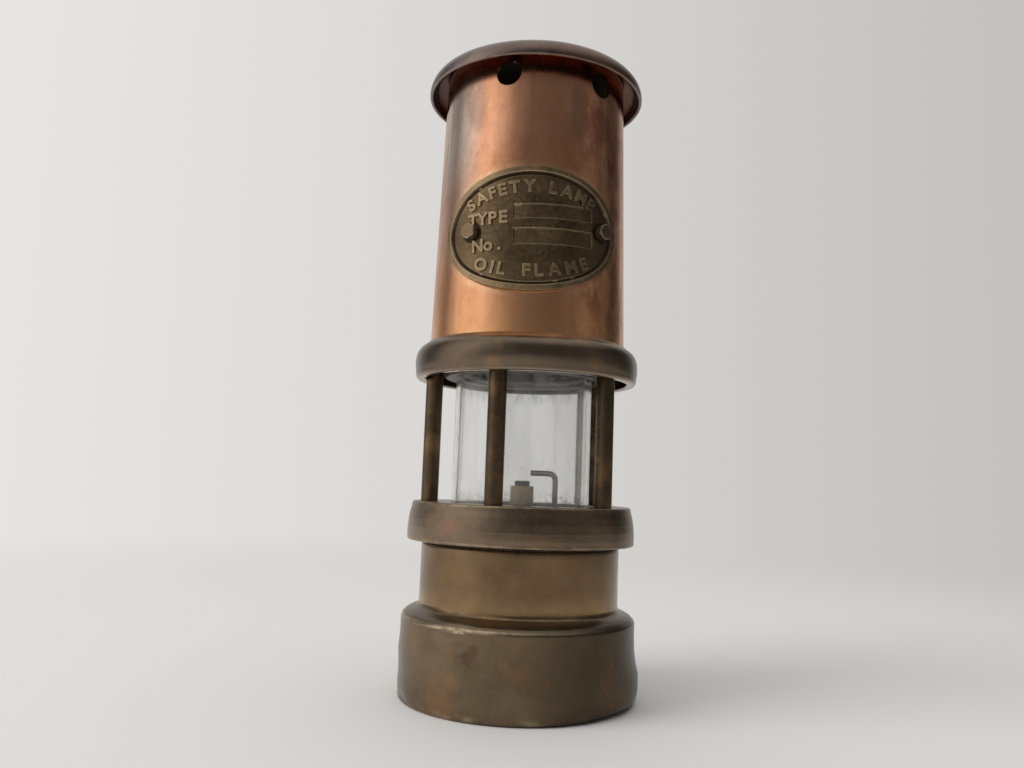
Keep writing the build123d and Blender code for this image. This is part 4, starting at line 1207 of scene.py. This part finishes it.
# azimuth of a direction from -Y towards +X, as 0..1 with 0.5 at the front
az = wmath("ADD", wmath("DIVIDE", wmath("ARCTAN2", sepw.outputs[0], wmath("MULTIPLY", sepw.outputs[1], -1.0)), 2 * math.pi), 0.5)
ramp = wt.nodes.new("ShaderNodeValToRGB")
wt.links.new(az, ramp.inputs[0])
stops = [(-180, 0.62), (-142, 0.60), (-128, 0.32), (-116, 0.16), (-104, 0.45), (-90, 0.85), (-72, 1.00), (-58, 0.76), (-45, 0.50), (-30, 0.32),
         (-15, 0.20), (0, 0.14), (25, 0.10), (50, 0.14), (72, 0.22), (95, 0.17), (115, 0.08), (132, 0.12), (146, 0.50), (180, 0.62)]
e = ramp.color_ramp.elements
while len(e) > 1:
    e.remove(e[-1])
first = True
for a, v in stops:
    p = a / 360.0 + 0.5
    c = (v, v * 0.985, v * 0.965, 1.0)
    if first:
        e[0].position, e[0].color = p, c
        first = False
    else:
        k = e.new(p)
        k.color = c
ramp.color_ramp.interpolation = "EASE"
up = wt.nodes.new("ShaderNodeMapRange")
up.interpolation_type = "SMOOTHSTEP"
wt.links.new(sepw.outputs[2], up.inputs[0])
up.inputs[1].default_value = 0.50
up.inputs[2].default_value = 0.95
# higher up, the front and the right are darker still
high = wt.nodes.new("ShaderNodeValToRGB")
wt.links.new(az, high.inputs[0])
stops_high = [(-180, 0.50), (-142, 0.50), (-126, 0.28), (-112, 0.16), (-98, 0.50), (-82, 0.95), (-60, 1.22), (-40, 0.70), (-20, 0.22), (0, 0.13),
              (25, 0.11), (50, 0.13), (72, 0.16), (95, 0.10), (115, 0.05), (132, 0.10), (146, 0.42), (180, 0.50)]
e = high.color_ramp.elements
while len(e) > 1:
    e.remove(e[-1])
for i, (a, v) in enumerate(stops_high):
    c = (v, v * 0.985, v * 0.965, 1.0)
    if i == 0:
        e[0].position, e[0].color = a / 360.0 + 0.5, c
    else:
        e.new(a / 360.0 + 0.5).color = c
high.color_ramp.interpolation = "EASE"
fall = wt.nodes.new("ShaderNodeMapRange")
fall.interpolation_type = "SMOOTHSTEP"
wt.links.new(sepw.outputs[2], fall.inputs[0])
fall.inputs[1].default_value = 0.10
fall.inputs[2].default_value = 0.48
dim = wt.nodes.new("ShaderNodeMix")
dim.data_type = "RGBA"
wt.links.new(fall.outputs[0], dim.inputs[0])
wt.links.new(ramp.outputs[0], dim.inputs[6])
wt.links.new(high.outputs[0], dim.inputs[7])
mixw = wt.nodes.new("ShaderNodeMix")
mixw.data_type = "RGBA"
wt.links.new(up.outputs[0], mixw.inputs[0])
wt.links.new(dim.outputs[2], mixw.inputs[6])
mixw.inputs[7].default_value = (0.80, 0.80, 0.80, 1)
bg = wt.nodes.new("ShaderNodeBackground")
wt.links.new(mixw.outputs[2], bg.inputs[0])
bg.inputs[1].default_value = 1.0
plain = wt.nodes.new("ShaderNodeBackground")
side = wmath("DIVIDE", sepw.outputs[0], wmath("SQRT", wmath("ADD", wmath("MULTIPLY", sepw.outputs[0], sepw.outputs[0]), wmath("ADD", wmath("MULTIPLY", sepw.outputs[1], sepw.outputs[1]), 1e-6))))
plain.inputs[0].default_value = PALE + (1.0,)
wt.links.new(wmath("SUBTRACT", 1.0, wmath("MULTIPLY", side, SWAY)), plain.inputs[1])
lp = wt.nodes.new("ShaderNodeLightPath")
mxw = wt.nodes.new("ShaderNodeMixShader")
sees = wmath("MAXIMUM", lp.outputs["Is Camera Ray"], lp.outputs["Is Transmission Ray"])
wt.links.new(sees, mxw.inputs[0])
wt.links.new(bg.outputs[0], mxw.inputs[1])
wt.links.new(plain.outputs[0], mxw.inputs[2])
wt.links.new(mxw.outputs[0], wout.inputs[0])


def area(name, loc, target, size, energy, color=(1, 1, 1)):
    li = bpy.data.lights.new(name, "AREA")
    li.shape = "RECTANGLE"
    li.size, li.size_y = size
    li.energy = energy
    li.color = color
    o = bpy.data.objects.new(name, li)
    sc.collection.objects.link(o)
    o.location = loc
    o.rotation_euler = (Vector(target) - Vector(loc)).to_track_quat("-Z", "Y").to_euler()
    o.visible_camera = False
    o.visible_glossy = False
    return o


area("window_key", (-0.75, -0.35, 0.75), (0, 0, 0.07), (0.55, 0.75), 4.5, (1.0, 0.985, 0.96))
area("ceiling_fill", (0.1, 0.2, 1.3), (0, 0, 0.05), (1.2, 1.2), 2.5, (0.98, 0.99, 1.0))

# ------------------------------------------------------------------ camera
cam_d = bpy.data.cameras.new("camera")
cam_d.sensor_width = 36.0
cam_d.lens = 848.1 / 1024.0 * 36.0
cam_d.clip_start = 0.005
cam_d.clip_end = 100.0
cam = bpy.data.objects.new("camera", cam_d)
sc.collection.objects.link(cam)
yaw, pitch, roll = math.radians(-0.93), math.radians(6.58), math.radians(2.14)
fw = Vector((math.sin(yaw) * math.cos(pitch), math.cos(yaw) * math.cos(pitch), math.sin(pitch)))
r0 = Vector((math.cos(yaw), -math.sin(yaw), 0.0))
u0 = r0.cross(fw)
rt = r0 * math.cos(roll) + u0 * math.sin(roll)
upv = u0 * math.cos(roll) - r0 * math.sin(roll)
mat = Matrix((
    (rt.x, upv.x, -fw.x, 0.0),
    (rt.y, upv.y, -fw.y, -0.2331),
    (rt.z, upv.z, -fw.z, 0.0560),
    (0, 0, 0, 1)))
cam.matrix_world = mat
sc.camera = cam

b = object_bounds()
